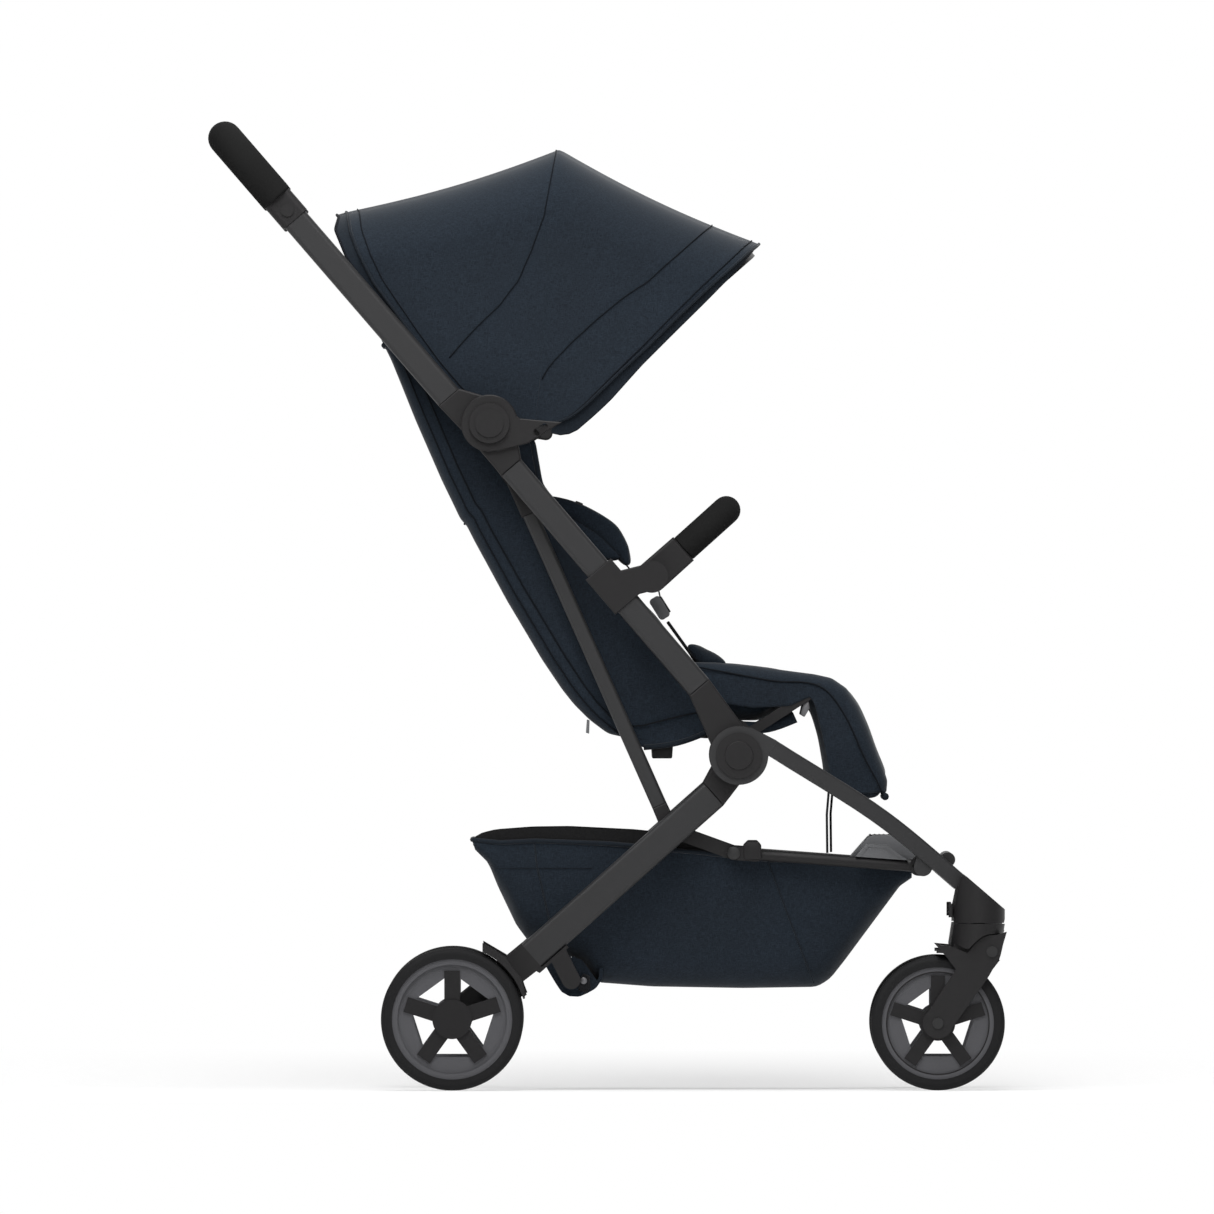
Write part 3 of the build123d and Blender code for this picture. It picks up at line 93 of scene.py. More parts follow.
# ---- lines of the soft goods in the side view ----
CANOPY_PIVOT = (-0.066, 0.716)
CANOPY_REAR = mm(
    (-128, 745), (-145, 753), (-160, 763), (-187, 792), (-213, 825), (-233, 852), (-253, 879),
    (-268, 908), (-278, 934), (-281, 954),
)
CANOPY_FLAP = mm(
    (-128, 745), (-147, 752), (-164, 761), (-193, 790), (-221, 823), (-241, 848), (-262, 876),
    (-282, 905), (-295, 937), (-291, 951),
)
CANOPY_MIDDLE = mm((-76, 722), (-70, 770), (-62, 880), (-51, 1021.5))
CANOPY_FRONT = mm(
    (-57, 727), (-47, 729), (-35, 735.5), (-20, 748), (13, 780), (47, 811.5), (80, 844),
    (113, 875), (147, 905), (158, 915), (164, 919.5),
)
CANOPY_LINING = mm(
    (-60, 716), (-46, 713), (-33, 718), (-12, 736), (5, 752), (39, 790), (74, 825), (109, 859.5),
    (142, 893), (157, 909), (163, 917.5),
)
BASKET_BAND = mm(
    (-145, 274), (-135, 279.5), (-120, 283), (-80, 286), (-40, 286.5), (0, 284.5), (30, 283),
    (60, 280), (90, 272), (110, 262),
)
BACK_REAR = mm(
    (20, 384), (2, 388), (-18, 403), (-34.5, 419.4), (-47.6, 435.7), (-69.4, 468), (-89, 501),
    (-108.5, 533.7), (-126, 566), (-143.5, 598), (-152, 615), (-158.5, 621), (-163.5, 632),
    (-179, 664), (-193.4, 697), (-207.6, 729.5), (-220.6, 762), (-234, 795), (-242, 811),
)
BACK_FRONT = mm(
    (41, 373), (70, 375), (100, 384), (119, 394), (113, 416), (89, 463), (52, 515), (-19, 585),
    (-72, 660), (-80, 706), (-120, 762), (-174, 801), (-236, 816),
)
BACK_MATCH = [(0.0, 0.0), (0.04, 0.12), (0.12, 0.2), (0.3, 0.42), (0.55, 0.66), (0.8, 0.83), (1.0, 1.0)]
BASKET_RIM = mm(
    (-146, 272.5), (-115, 269.5), (-78, 271.5), (0, 268.5), (30, 266), (75, 261), (100, 259),
    (150, 253), (180, 250.5), (250, 250), (300, 247), (333, 240),
)
BASKET_UNDER = mm(
    (-146, 272.5), (-143, 262), (-130, 249), (-126, 242), (-118, 222), (-98, 180), (-87, 165),
    (-66, 156), (-26, 140.5), (-9, 117), (50, 112.5), (150, 110.8), (227, 112), (235, 115),
    (245, 122), (260, 141), (280, 168), (300, 195), (320, 222), (333, 231),
)


# ==== tools for meshes and pieces ====
def deselect():
    """Nothing stays selected, so that the next operator acts on its own piece only."""
    bpy.ops.object.select_all(action="DESELECT")


def take(piece):
    """Select one piece alone and make it the active one."""
    deselect()
    piece.select_set(True)
    bpy.context.view_layer.objects.active = piece


def modifier(piece, name, kind, **settings):
    """A modifier with its settings."""
    made = piece.modifiers.new(name, kind)
    for key, value in settings.items():
        setattr(made, key, value)
    return made


def apply_modifiers(piece):
    """Apply every modifier of a piece in order."""
    take(piece)
    for modifier in list(piece.modifiers):
        bpy.ops.object.modifier_apply(modifier=modifier.name)


def smooth(piece, angle=40):
    """Smooth shading, with edges sharper than an angle kept."""
    take(piece)
    bpy.ops.object.shade_smooth_by_angle(angle=radians(angle))


def outward(piece):
    """Recalculate a closed piece's normals to point outwards."""
    take(piece)
    bpy.ops.object.mode_set(mode="EDIT")
    bpy.ops.mesh.select_all(action="SELECT")
    bpy.ops.mesh.remove_doubles(threshold=0.00001)
    bpy.ops.mesh.normals_make_consistent(inside=False)
    bpy.ops.object.mode_set(mode="OBJECT")


def paint(piece, *names):
    """Give a piece its materials by name."""
    piece.data.materials.clear()
    for name in names:
        piece.data.materials.append(bpy.data.materials[OWN + name])


def at_share(points, share):
    """Point a share of the way along a line of side-view points."""
    lengths = [hypot(b[0] - a[0], b[1] - a[1]) for a, b in zip(points, points[1:])]
    left = min(max(share, 0.0), 1.0) * sum(lengths)
    for (a, b), length in zip(zip(points, points[1:]), lengths):
        if left <= length:
            return Vector(a).lerp(Vector(b), left / length)
        left -= length
    return Vector(points[-1])


def between(knots, value):
    """Value read from a list of (from, to) knots, straight between them."""
    if value <= knots[0][0]:
        return knots[0][1]
    for (a, x), (b, y) in zip(knots, knots[1:]):
        if value <= b:
            return x + (y - x) * (value - a) / (b - a)
    return knots[-1][1]


def sheet_from(name, columns, rows, place, inside):
    """A grid whose points are placed by a function of two shares, facing away from a point."""
    deselect()
    bpy.ops.mesh.primitive_grid_add(x_subdivisions=columns, y_subdivisions=rows, size=2)
    piece = bpy.context.object
    piece.name = name
    for point in piece.data.vertices:
        point.co = place((point.co.x + 1) / 2, (point.co.y + 1) / 2)
    piece.data.update()
    facing = sum((f.center - Vector(inside)).dot(f.normal) * f.area for f in piece.data.polygons)
    if facing < 0:
        bpy.ops.object.mode_set(mode="EDIT")
        bpy.ops.mesh.select_all(action="SELECT")
        bpy.ops.mesh.flip_normals()
        bpy.ops.object.mode_set(mode="OBJECT")
    return piece


def raised(place, s, t, lift, inside):
    """Point of a placed surface, lifted off it by a height, away from a point inside."""
    step = 0.004
    across = place(min(s + step, 1.0), t) - place(max(s - step, 0.0), t)
    down = place(s, min(t + step, 1.0)) - place(s, max(t - step, 0.0))
    at = place(s, t)
    away = across.cross(down).normalized()
    if away.dot(at - Vector(inside)) < 0:
        away.negate()
    return at + away * lift


def cut_of(piece, columns, rows, place):
    """Flat width, length and area that a sheet was cut to, measured along its grid."""
    area = sum(f.area for f in piece.data.polygons)
    width = max(
        sum((place(i / columns, v) - place((i + 1) / columns, v)).length for i in range(columns))
        for v in (0.0, 0.25, 0.5, 0.75, 1.0)
    )
    length = max(
        sum((place(u, i / rows) - place(u, (i + 1) / rows)).length for i in range(rows))
        for u in (0.0, 0.25, 0.5, 0.75, 1.0)
    )
    return (width, length), min(area, width * length)


def cloth_sheet(name, grid, place, inside, finishes, wall, levels, body, replaces=(),
                lapped=None):
    """A sheet of cloth with its finishes, thickness and hold; lapped places one more row than its cut."""
    columns, rows = grid
    piece = sheet_from(name, columns, rows + bool(lapped), lapped or place, inside)
    flat, area = cut_of(piece, columns, rows, place)
    paint(piece, *finishes)
    thicken(piece, wall, levels, len(finishes) - 1)
    smooth(piece, 60)
    return joined(piece, body, replaces)


def thicken(piece, thickness, levels=1, inner_slot=0):
    """Give a sheet its thickness inwards and soften it, then apply both."""
    modifier(
        piece, "wall", "SOLIDIFY", thickness=thickness, offset=-1, use_even_offset=True,
        material_offset=inner_slot,
    )
    if levels:
        modifier(piece, "soft", "SUBSURF", levels=levels, render_levels=levels)
    apply_modifiers(piece)


def tube(name, points, radius, closed=False, smooth_line=True, sides=6):
    """A round tube along points, as a mesh."""
    line = bpy.data.curves.new(name, "CURVE")
    line.dimensions = "3D"
    spline = line.splines.new("NURBS" if smooth_line else "POLY")
    spline.points.add(len(points) - 1)
    for target, point in zip(spline.points, points):
        target.co = (*point, 1)
    spline.use_cyclic_u = closed
    if smooth_line:
        spline.order_u = 3
        spline.use_endpoint_u = not closed
        spline.resolution_u = 3
    line.bevel_depth = radius
    line.bevel_resolution = max(1, sides // 2 - 2)
    line.use_fill_caps = not closed
    piece = bpy.data.objects.new(name, line)
    bpy.context.collection.objects.link(piece)
    take(piece)
    bpy.ops.object.convert(target="MESH")
    piece = bpy.context.object
    outward(piece)
    bpy.ops.object.shade_smooth()
    return piece


def prism(name, profile, y_from, y_to, bevel):
    """A side-view profile drawn through from one y to another, with rounded edges."""
    deselect()
    bpy.ops.mesh.primitive_circle_add(vertices=len(profile), radius=1, fill_type="NGON")
    piece = bpy.context.object
    piece.name = name
    for point, (x, z) in zip(piece.data.vertices, profile):
        point.co = (x, y_from, z)
    bpy.ops.object.mode_set(mode="EDIT")
    bpy.ops.mesh.select_all(action="SELECT")
    bpy.ops.mesh.extrude_region_move(TRANSFORM_OT_translate={"value": (0, y_to - y_from, 0)})
    bpy.ops.object.mode_set(mode="OBJECT")
    outward(piece)
    if bevel:
        modifier(
            piece, "edge", "BEVEL", width=bevel, segments=2, limit_method="ANGLE", angle_limit=radians(25)
        )
        apply_modifiers(piece)
    smooth(piece)
    return piece


def ribbon(name, points, width, y_middle, thickness=0.0016):
    """A strap of webbing along side-view points, lying across y."""
    lengths = max(8, int(40 * sum(hypot(b[0] - a[0], b[1] - a[1]) for a, b in zip(points, points[1:])) / 0.1))

    def place(u, v):
        at = at_share(points, v)
        return Vector((at.x, y_middle + (u - 0.5) * width, at.y))

    piece = sheet_from(name, 6, lengths, place, (points[0][0] + 0.3, y_middle, points[0][1] - 1))
    thicken(piece, thickness, 0)
    smooth(piece)
    return piece


def moved_line(points, offset):
    """Side-view points moved by an offset to their line's left."""
    moved = []
    for i, p in enumerate(points):
        a, b = points[max(i - 1, 0)], points[min(i + 1, len(points) - 1)]
        run = hypot(b[0] - a[0], b[1] - a[1])
        moved.append((p[0] - offset * (b[1] - a[1]) / run, p[1] + offset * (b[0] - a[0]) / run))
    return moved


def plump(piece, voxel, cap, pressure=4.0):
    """Fill a closed pad with air as cloth, no point going further than a cap, and keep the result."""
    take(piece)
    modifier(piece, "remesh", "REMESH", mode="VOXEL", voxel_size=voxel)
    apply_modifiers(piece)
    before = [point.co.copy() for point in piece.data.vertices]
    air = piece.modifiers.new("air", "CLOTH")
    air.settings.use_pressure = True
    air.settings.uniform_pressure_force = pressure
    air.settings.effector_weights.gravity = 0
    air.settings.quality = 4
    air.collision_settings.use_collision = False
    for number in range(1, 21):
        bpy.context.scene.frame_set(number)
    posed = piece.evaluated_get(bpy.context.evaluated_depsgraph_get())
    after = [point.co.copy() for point in posed.data.vertices]
    piece.modifiers.remove(air)
    for point, old, new in zip(piece.data.vertices, before, after):
        move = new - old
        if move.length > cap:
            move = move.normalized() * cap
        point.co = old + move
    bpy.context.scene.frame_set(1)
    modifier(piece, "relax", "SMOOTH", factor=0.5, iterations=3)
    modifier(piece, "soft", "SUBSURF", levels=1, render_levels=1)
    apply_modifiers(piece)
    bpy.ops.object.shade_smooth()


def side_plate(name, side, profile, layer, half, bevel, body, slot, material):
    """A thin plate on one side of the stroller, about a layer and with half a thickness."""
    plate = prism(name + dict(SIDES)[side], profile, side * layer - half, side * layer + half, bevel)
    finish_piece(plate, body, slot, material)


def joined(piece, body, replaces=()):
    """Set a piece on its body, or for a span between two bake its place into its mesh, and hide the nodes it
    stands for.
    """
    if isinstance(body, tuple):
        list(body)
        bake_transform(piece)
    else:
        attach(piece, body)
    if replaces:
        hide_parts(*replaces)
    return piece


def finish_piece(piece, body, slot, material, replaces=()):
    """Paint a piece and join it to its body."""
    paint(piece, material)
    return joined(piece, body, replaces)


# ==== materials ====
def fill(tree, made, feeds):
    """Feed a node's inputs, each from another node's socket or with a plain value."""
    for key, source in feeds.items():
        target = made.inputs[key]
        if isinstance(source, bpy.types.NodeSocket):
            tree.links.new(source, target)
        elif target.type == "RGBA":
            target.default_value = (*source[:3], 1)
        else:
            target.default_value = source


def node(tree, kind, x, y, feeds=None, **settings):
    """A shader node at a place, with its settings and what feeds its inputs."""
    made = tree.nodes.new(kind)
    made.location = (x, y)
    for key, value in settings.items():
        setattr(made, key, value)
    fill(tree, made, feeds or {})
    return made


def calculated(tree, operation, x, y, *feeds):
    """Output of a maths node on one or two values."""
    return node(tree, "ShaderNodeMath", x, y, dict(enumerate(feeds)), operation=operation).outputs[0]


def ranged(tree, value, x, y, **ends):
    """A value moved from one range to another; ends are from_min, from_max, to_min and to_max."""
    feeds = {key.replace("_", " ").title(): end for key, end in ends.items()}
    return node(tree, "ShaderNodeMapRange", x, y, {**feeds, "Value": value}).outputs["Result"]


def scaled(tree, vector, scale, x, y):
    """A vector or colour times a value."""
    feeds = {0: vector, "Scale": scale}
    return node(tree, "ShaderNodeVectorMath", x, y, feeds, operation="SCALE").outputs[0]


def mixed(tree, factor, first, second, x, y):
    """Colour between two others by a factor."""
    feeds = {"Factor": factor, "A": first, "B": second}
    return node(tree, "ShaderNodeMix", x, y, feeds, data_type="RGBA").outputs["Result"]


def object_place(tree, x, y):
    """Coordinates in the piece's own space."""
    return node(tree, "ShaderNodeTexCoord", x, y).outputs["Object"]


def group(name, inputs, outputs):
    """A shader node group with its sockets, its input node and its output node."""
    tree = bpy.data.node_groups.new(name, "ShaderNodeTree")
    for label, kind, default in inputs:
        socket = tree.interface.new_socket(label, in_out="INPUT", socket_type=kind)
        socket.default_value = default
    for label, kind in outputs:
        tree.interface.new_socket(label, in_out="OUTPUT", socket_type=kind)
    source = node(tree, "NodeGroupInput", -900, 0).outputs
    return tree, source, node(tree, "NodeGroupOutput", 700, 0)


def stretched_noise(tree, coordinates, scale, y, detail=2.0):
    """Noise on coordinates scaled apart along their three axes."""
    mapping = node(tree, "ShaderNodeMapping", -500, y, {"Vector": coordinates, "Scale": scale})
    feeds = {"Vector": mapping.outputs["Vector"], "Scale": 1.0, "Detail": detail}
    return node(tree, "ShaderNodeTexNoise", -300, y, feeds).outputs["Fac"]


def make_weave_group():
    """Threads that cross: colour flecks and the fine bump of a plain weave."""
    tree, source, result = group(
        "crossed_threads",
        [
            ("Dark thread", "NodeSocketColor", (0.01, 0.02, 0.03, 1)),
            ("Light thread", "NodeSocketColor", (0.03, 0.04, 0.05, 1)),
            ("Fineness", "NodeSocketFloat", 1.0),
            ("Bump", "NodeSocketFloat", 0.3),
        ],
        [("Color", "NodeSocketColor"), ("Normal", "NodeSocketVector")],
    )
    fine = scaled(tree, object_place(tree, -1100, -300), source["Fineness"], -700, -300)
    warp = stretched_noise(tree, fine, (260, 900, 1500), 200)
    weft = stretched_noise(tree, fine, (1500, 900, 260), -100)
    cloud = stretched_noise(tree, fine, (9, 9, 9), -400)
    cross = calculated(tree, "MAXIMUM", -100, 100, warp, weft)
    flecks = ranged(tree, cross, 60, 100, from_min=0.42, from_max=0.72)
    colour = mixed(tree, flecks, source["Dark thread"], source["Light thread"], 240, 200)
    tone = ranged(tree, cloud, 60, -300, from_min=0.3, from_max=0.7, to_min=0.9, to_max=1.08)
    bump_feeds = {"Distance": 0.0004, "Strength": source["Bump"], "Height": cross}
    bump = node(tree, "ShaderNodeBump", 420, -100, bump_feeds)
    fill(tree, result, {"Color": scaled(tree, colour, tone, 420, 200), "Normal": bump.outputs["Normal"]})


def make_grain_group():
    """Fine grain of a moulding or coating: tone, roughness and bump."""
    tree, source, result = group(
        "surface_grain",
        [
            ("Base", "NodeSocketColor", (0.02, 0.02, 0.02, 1)),
            ("Grain size", "NodeSocketFloat", 1400.0),
            ("Roughness", "NodeSocketFloat", 0.5),
            ("Bump", "NodeSocketFloat", 0.2),
        ],
        [("Color", "NodeSocketColor"), ("Roughness", "NodeSocketFloat"), ("Normal", "NodeSocketVector")],
    )
    place = object_place(tree, -900, -300)
    grain_feeds = {"Vector": place, "Scale": source["Grain size"], "Detail": 3.0}
    grain = node(tree, "ShaderNodeTexNoise", -500, 0, grain_feeds).outputs["Fac"]
    patch = stretched_noise(tree, place, (14, 14, 14), -350, 4.0)
    tone = ranged(tree, grain, -100, 150, to_min=0.86, to_max=1.14)
    worn = ranged(tree, patch, -100, -200, from_min=0.3, from_max=0.7, to_min=-0.05, to_max=0.06)
    bump_feeds = {"Distance": 0.0002, "Strength": source["Bump"], "Height": grain}
    bump = node(tree, "ShaderNodeBump", 400, -300, bump_feeds)
    fill(tree, result, {
        "Color": scaled(tree, source["Base"], tone, 200, 150),
        "Roughness": calculated(tree, "ADD", 200, -100, worn, source["Roughness"]),
        "Normal": bump.outputs["Normal"],
    })


def blank_material(name):
    """A material with its shader and output, ready for its nodes."""
    material = bpy.data.materials.new(OWN + name)
    material.use_nodes = True
    tree = material.node_tree
    tree.nodes.clear()
    shader = node(tree, "ShaderNodeBsdfPrincipled", 300, 0)
    output = node(tree, "ShaderNodeOutputMaterial", 600, 0, {"Surface": shader.outputs[0]})
    return tree, shader, output


def cloth_material(name, dark, light, fineness=1.0, bump=0.3, sheen=0.25, roughness=0.85):
    """A woven finish."""
    tree, shader, _ = blank_material(name)
    threads = {"Dark thread": dark, "Light thread": light, "Fineness": fineness, "Bump": bump}
    weave = node(tree, "ShaderNodeGroup", 0, 0, node_tree=bpy.data.node_groups["crossed_threads"])
    fill(tree, weave, threads)
    fill(tree, shader, {
        "Base Color": weave.outputs["Color"], "Normal": weave.outputs["Normal"], "Roughness": roughness,
        "Sheen Weight": sheen, "Sheen Roughness": 0.5, "Specular IOR Level": 0.2,
    })


def grained_material(name, colour, grain, roughness, bump, metallic=0.0, specular=0.5):
    """A moulded, coated or foamed finish."""
    tree, shader, _ = blank_material(name)
    surface = node(tree, "ShaderNodeGroup", 0, 0, node_tree=bpy.data.node_groups["surface_grain"])
    fill(tree, surface, {"Base": colour, "Grain size": grain, "Roughness": roughness, "Bump": bump})
    fill(tree, shader, {
        "Base Color": surface.outputs["Color"], "Roughness": surface.outputs["Roughness"],
        "Normal": surface.outputs["Normal"], "Metallic": metallic, "Specular IOR Level": specular,
    })
    return tree, surface


def wheel_material(name, rim, star, axle, layer, reach):
    """A wheel moulded in two colours: grey rim and web, black star and hub on the outer face."""
    tree, surface = grained_material(name, rim, 1600, 0.45, 0.15, 0.0, 0.25)
    parts = node(tree, "ShaderNodeSeparateXYZ", -900, -300, {0: object_place(tree, -1100, -300)}).outputs
    side = calculated(tree, "ABSOLUTE", -700, -200, parts["Y"])
    outside = calculated(tree, "GREATER_THAN", -500, -200, side, layer)
    flat = node(tree, "ShaderNodeCombineXYZ", -700, -400, {"X": parts["X"], "Z": parts["Z"]}).outputs[0]
    away_feeds = {0: flat, 1: (axle[0], 0, axle[1])}
    away = node(tree, "ShaderNodeVectorMath", -500, -400, away_feeds, operation="DISTANCE")
    within = calculated(tree, "LESS_THAN", -300, -400, away.outputs["Value"], reach)
    both = calculated(tree, "MULTIPLY", -100, -300, outside, within)
    fill(tree, surface, {"Base": mixed(tree, both, rim, star, 100, -300)})


# ==== shapes of the soft goods ====
def rounded_path(share, side, corner, half):
    """Share of a path up a side, round a corner, across, and down again: y and depth below the top."""
    arc = corner * pi / 2
    across = 2 * (half - corner)
    total = 2 * (side - corner) + 2 * arc + across
    run = share * total
    mirrored = run > total / 2
    if mirrored:
        run = total - run
    if run < side - corner:
        y, depth = half, side - run
    elif run < side - corner + arc:
        turn = (run - side + corner) / corner
        y, depth = half - corner * (1 - cos(turn)), corner * (1 - sin(turn))
    else:
        y, depth = half - corner - (run - side + corner - arc), 0.0
    return (y if mirrored else -y), depth


def canopy_point(rear, front, half, sag, s, t, first, last):
    """Point of a cover: s goes from hem to hem over the roof, t from one bow to the next.

    The share of the whole canopy that the cover spans runs from first to last.
    """
    y, depth = rounded_path(s, CANOPY_HEIGHT, CANOPY_CORNER, half)
    h = 1 - depth / CANOPY_HEIGHT
    at = at_share(rear, h).lerp(at_share(front, h), t)
    slack = 4 * t * (1 - t)
    to_pivot = Vector(CANOPY_PIVOT) - at
    roof = max(0.0, 1 - depth / 0.12)
    at += to_pivot.normalized() * sag * slack * roof
    at -= to_pivot.normalized() * 0.004 * roof * max(0.0, 1 - (y / (half - CANOPY_CORNER)) ** 2)
    whole = first + (last - first) * t
    y *= 1 - 0.018 * 4 * whole * (1 - whole) * sin(pi * min(h, 1.0))
    return Vector((at.x, y, at.y))


def back_point(s, t):
    """Point of the seat's outer shell: s goes from one wing's edge round the back to the other's."""
    rear = at_share(BACK_REAR, t)
    front = at_share(BACK_FRONT, between(BACK_MATCH, t))
    depth = (front - rear).length
    y, below = rounded_path(s, depth, min(0.016, 0.8 * depth), BACK_HALF)
    share = 1 - below / max(depth, 0.001)
    at = front.lerp(rear, share)
    y *= 1 - 0.02 * sin(pi * share) ** 2 * (0 if abs(y) < 0.12 else 1)
    return Vector((at.x, y, at.y))


def fold_x(z):
    """Where the basket's folded front panel begins at a height."""
    return 0.176 + (0.250 - z) * 0.375


def basket_point(u, v):
    """Point of the basket: u goes from its rear to its front, v from rim to rim under it."""
    ease = 0.5 - 0.5 * cos(pi * u)
    share = 0.35 * u + 0.65 * ease
    x = -0.146 + share * (0.333 + 0.146)
    rim = between(BASKET_RIM, x)
    under = min(between(BASKET_UNDER, x), rim - 0.001)
    depth = rim - under
    half = 0.1475 - 0.003 * (1 - min(1, depth / 0.05))
    half -= FOLD_SLOPE * max(0.0, x - fold_x(rim - 0.5 * depth))
    corner = min(0.030, 0.45 * depth)
    y, below = rounded_path(v, depth, corner, half)
    drop = depth - below
    taper = 1 - 0.09 * drop / 0.16
    y *= taper
    z = under + below
    bulge = sin(pi * min(1.0, below / max(depth, 0.001)))
    y += (1 if y > 0 else -1) * 0.002 * bulge * (1 if abs(y) > 0.1 else 0)
    return Vector((x, y, z))


def disc_line(middle, radius, count):
    """A circle in the side view, as points."""
    turns = [2 * pi * i / count for i in range(count)]
    return [(middle[0] + radius * cos(t), middle[1] + radius * sin(t)) for t in turns]


def smooth_step(start, end, value):
    """Share of the way from start to end, eased at both."""
    share = min(1.0, max(0.0, (value - start) / (end - start)))
    return share * share * (3 - 2 * share)


def densified(points, count):
    """Points of a line in space, set evenly between its corners."""
    out = []
    for a, b in zip(points, points[1:]):
        out += [tuple(Vector(a).lerp(Vector(b), i / count)) for i in range(count)]
    return out + [points[-1]]


def basket_half(x, z):
    """Half width of the basket's side at a place in the side view."""
    rim, under = between(BASKET_RIM, x), between(BASKET_UNDER, x)
    depth = max(0.001, rim - under)
    bulge = 0.002 * sin(pi * min(1.0, max(0.0, (z - under) / depth)))
    half = 0.1475 - 0.003 * (1 - min(1, depth / 0.05)) - FOLD_SLOPE * max(0.0, x - fold_x(rim - 0.5 * depth))
    return half * (1 - 0.09 * max(0.0, rim - z) / 0.16) + bulge + 0.0004


def grip_ends():
    """Side-view point where the push bar's foam begins."""
    low, top = Vector((-0.1715, 0.7545)), Vector((-0.415, 1.0365))
    return tuple(top + (low - top).normalized() * 0.087)


def sleeve_round(name, foot, top, half, corner, radius):
    """A foam sleeve round a bar bent as a U, with rounded ends."""
    foot, top = Vector(foot), Vector(top)
    along = (foot - top).normalized()
    straight = (foot - top).length - corner
    points = []
    for i in range(13):
        at = top + along * (corner + straight * (1 - i / 12))
        points.append(Vector((at.x, -half, at.y)))
    for i in range(1, 12):
        turn = pi / 2 * i / 12
        at = top + along * corner * (1 - sin(turn))
        points.append(Vector((at.x, -half + corner * (1 - cos(turn)), at.y)))
    for i in range(0, 25):
        points.append(Vector((top.x, (-half + corner) * (1 - i / 24), top.y)))
    points += [Vector((p.x, -p.y, p.z)) for p in reversed(points[:-1])]
    sides, last = 28, len(points) - 1

    def place(u, v):
        spot = v * last
        i = min(int(spot), last - 1)
        at = points[i].lerp(points[i + 1], spot - i)
        run = (points[min(i + 1, last)] - points[max(i - 1, 0)]).normalized()
        if i < last - 1:
            ahead = (points[min(i + 2, last)] - points[i]).normalized()
            run = run.lerp(ahead, spot - i).normalized()
        across = Vector((along.y, 0, -along.x)).normalized()
        up = run.cross(across).normalized()
        end = min(v, 1 - v) * last
        round_off = 1 - 0.10 * max(0.0, 1 - end / 0.7) ** 2
        turn = 2 * pi * u
        return at + (across * cos(turn) + up * sin(turn)) * radius * round_off

    deselect()
    bpy.ops.mesh.primitive_grid_add(x_subdivisions=sides, y_subdivisions=last * 2, size=2)
    piece = bpy.context.object
    piece.name = name
    for point in piece.data.vertices:
        point.co = place((point.co.x + 1) / 2, (point.co.y + 1) / 2)
    bpy.ops.object.mode_set(mode="EDIT")
    bpy.ops.mesh.select_all(action="SELECT")
    bpy.ops.mesh.remove_doubles(threshold=0.00002)
    bpy.ops.mesh.select_all(action="DESELECT")
    bpy.ops.mesh.select_non_manifold()
    bpy.ops.mesh.edge_face_add()
    bpy.ops.object.mode_set(mode="OBJECT")
    outward(piece)
    smooth(piece, 50)
    return piece


# ==== sizes and finishes that a user would change ====
def size(name, description, default, low, high):
    """A length that a user would change, in metres."""
    return FloatProperty(
        name=name, description=description, default=default, min=low, max=high, unit="LENGTH"
    )


def colour(name, description, default):
    """A colour that a user would change."""
    return FloatVectorProperty(
        name=name, description=description, subtype="COLOR", size=3, min=0, max=1, default=default
    )


class StrollerSizes(bpy.types.PropertyGroup):
    """Sizes of the soft goods and trims."""

    canopy_sag: size("Canopy sag", "How far the canopy hangs in between its bows", 0.006, 0.0, 0.02)
    cover_wall: size("Cover thickness", "Thickness of the canopy and basket cloth", 0.0016, 0.0005, 0.003)
    shell_wall: size("Shell thickness", "Thickness of the seat's quilted outer shell", 0.0045, 0.002, 0.008)
    piping: size("Piping radius", "Radius of the piping sewn into the seams", 0.0017, 0.0005, 0.003)
    plumpness: size("Plumpness", "How far a pad may swell from its cut shape", 0.006, 0.0, 0.015)
    foam_radius: size("Foam radius", "Radius of the push bar's foam sleeve", 0.0185, 0.012, 0.022)


class StrollerColours(bpy.types.PropertyGroup):
    """Colours of the finishes."""

    cloth_dark: colour("Cloth, dark thread", "Darker thread of the navy cloth", shade(20, 27, 35))
    cloth_light: colour("Cloth, light thread", "Lighter thread of the navy cloth", shade(34, 43, 52))
    frame_paint: colour("Frame paint", "Powder coat of the tubes", shade(48, 48, 49))
    moulding: colour("Mouldings", "Plastic of the hubs, sockets and forks", shade(30, 29, 30))
    rim: colour("Rims", "Plastic of the wheel rims", shade(78, 78, 81))


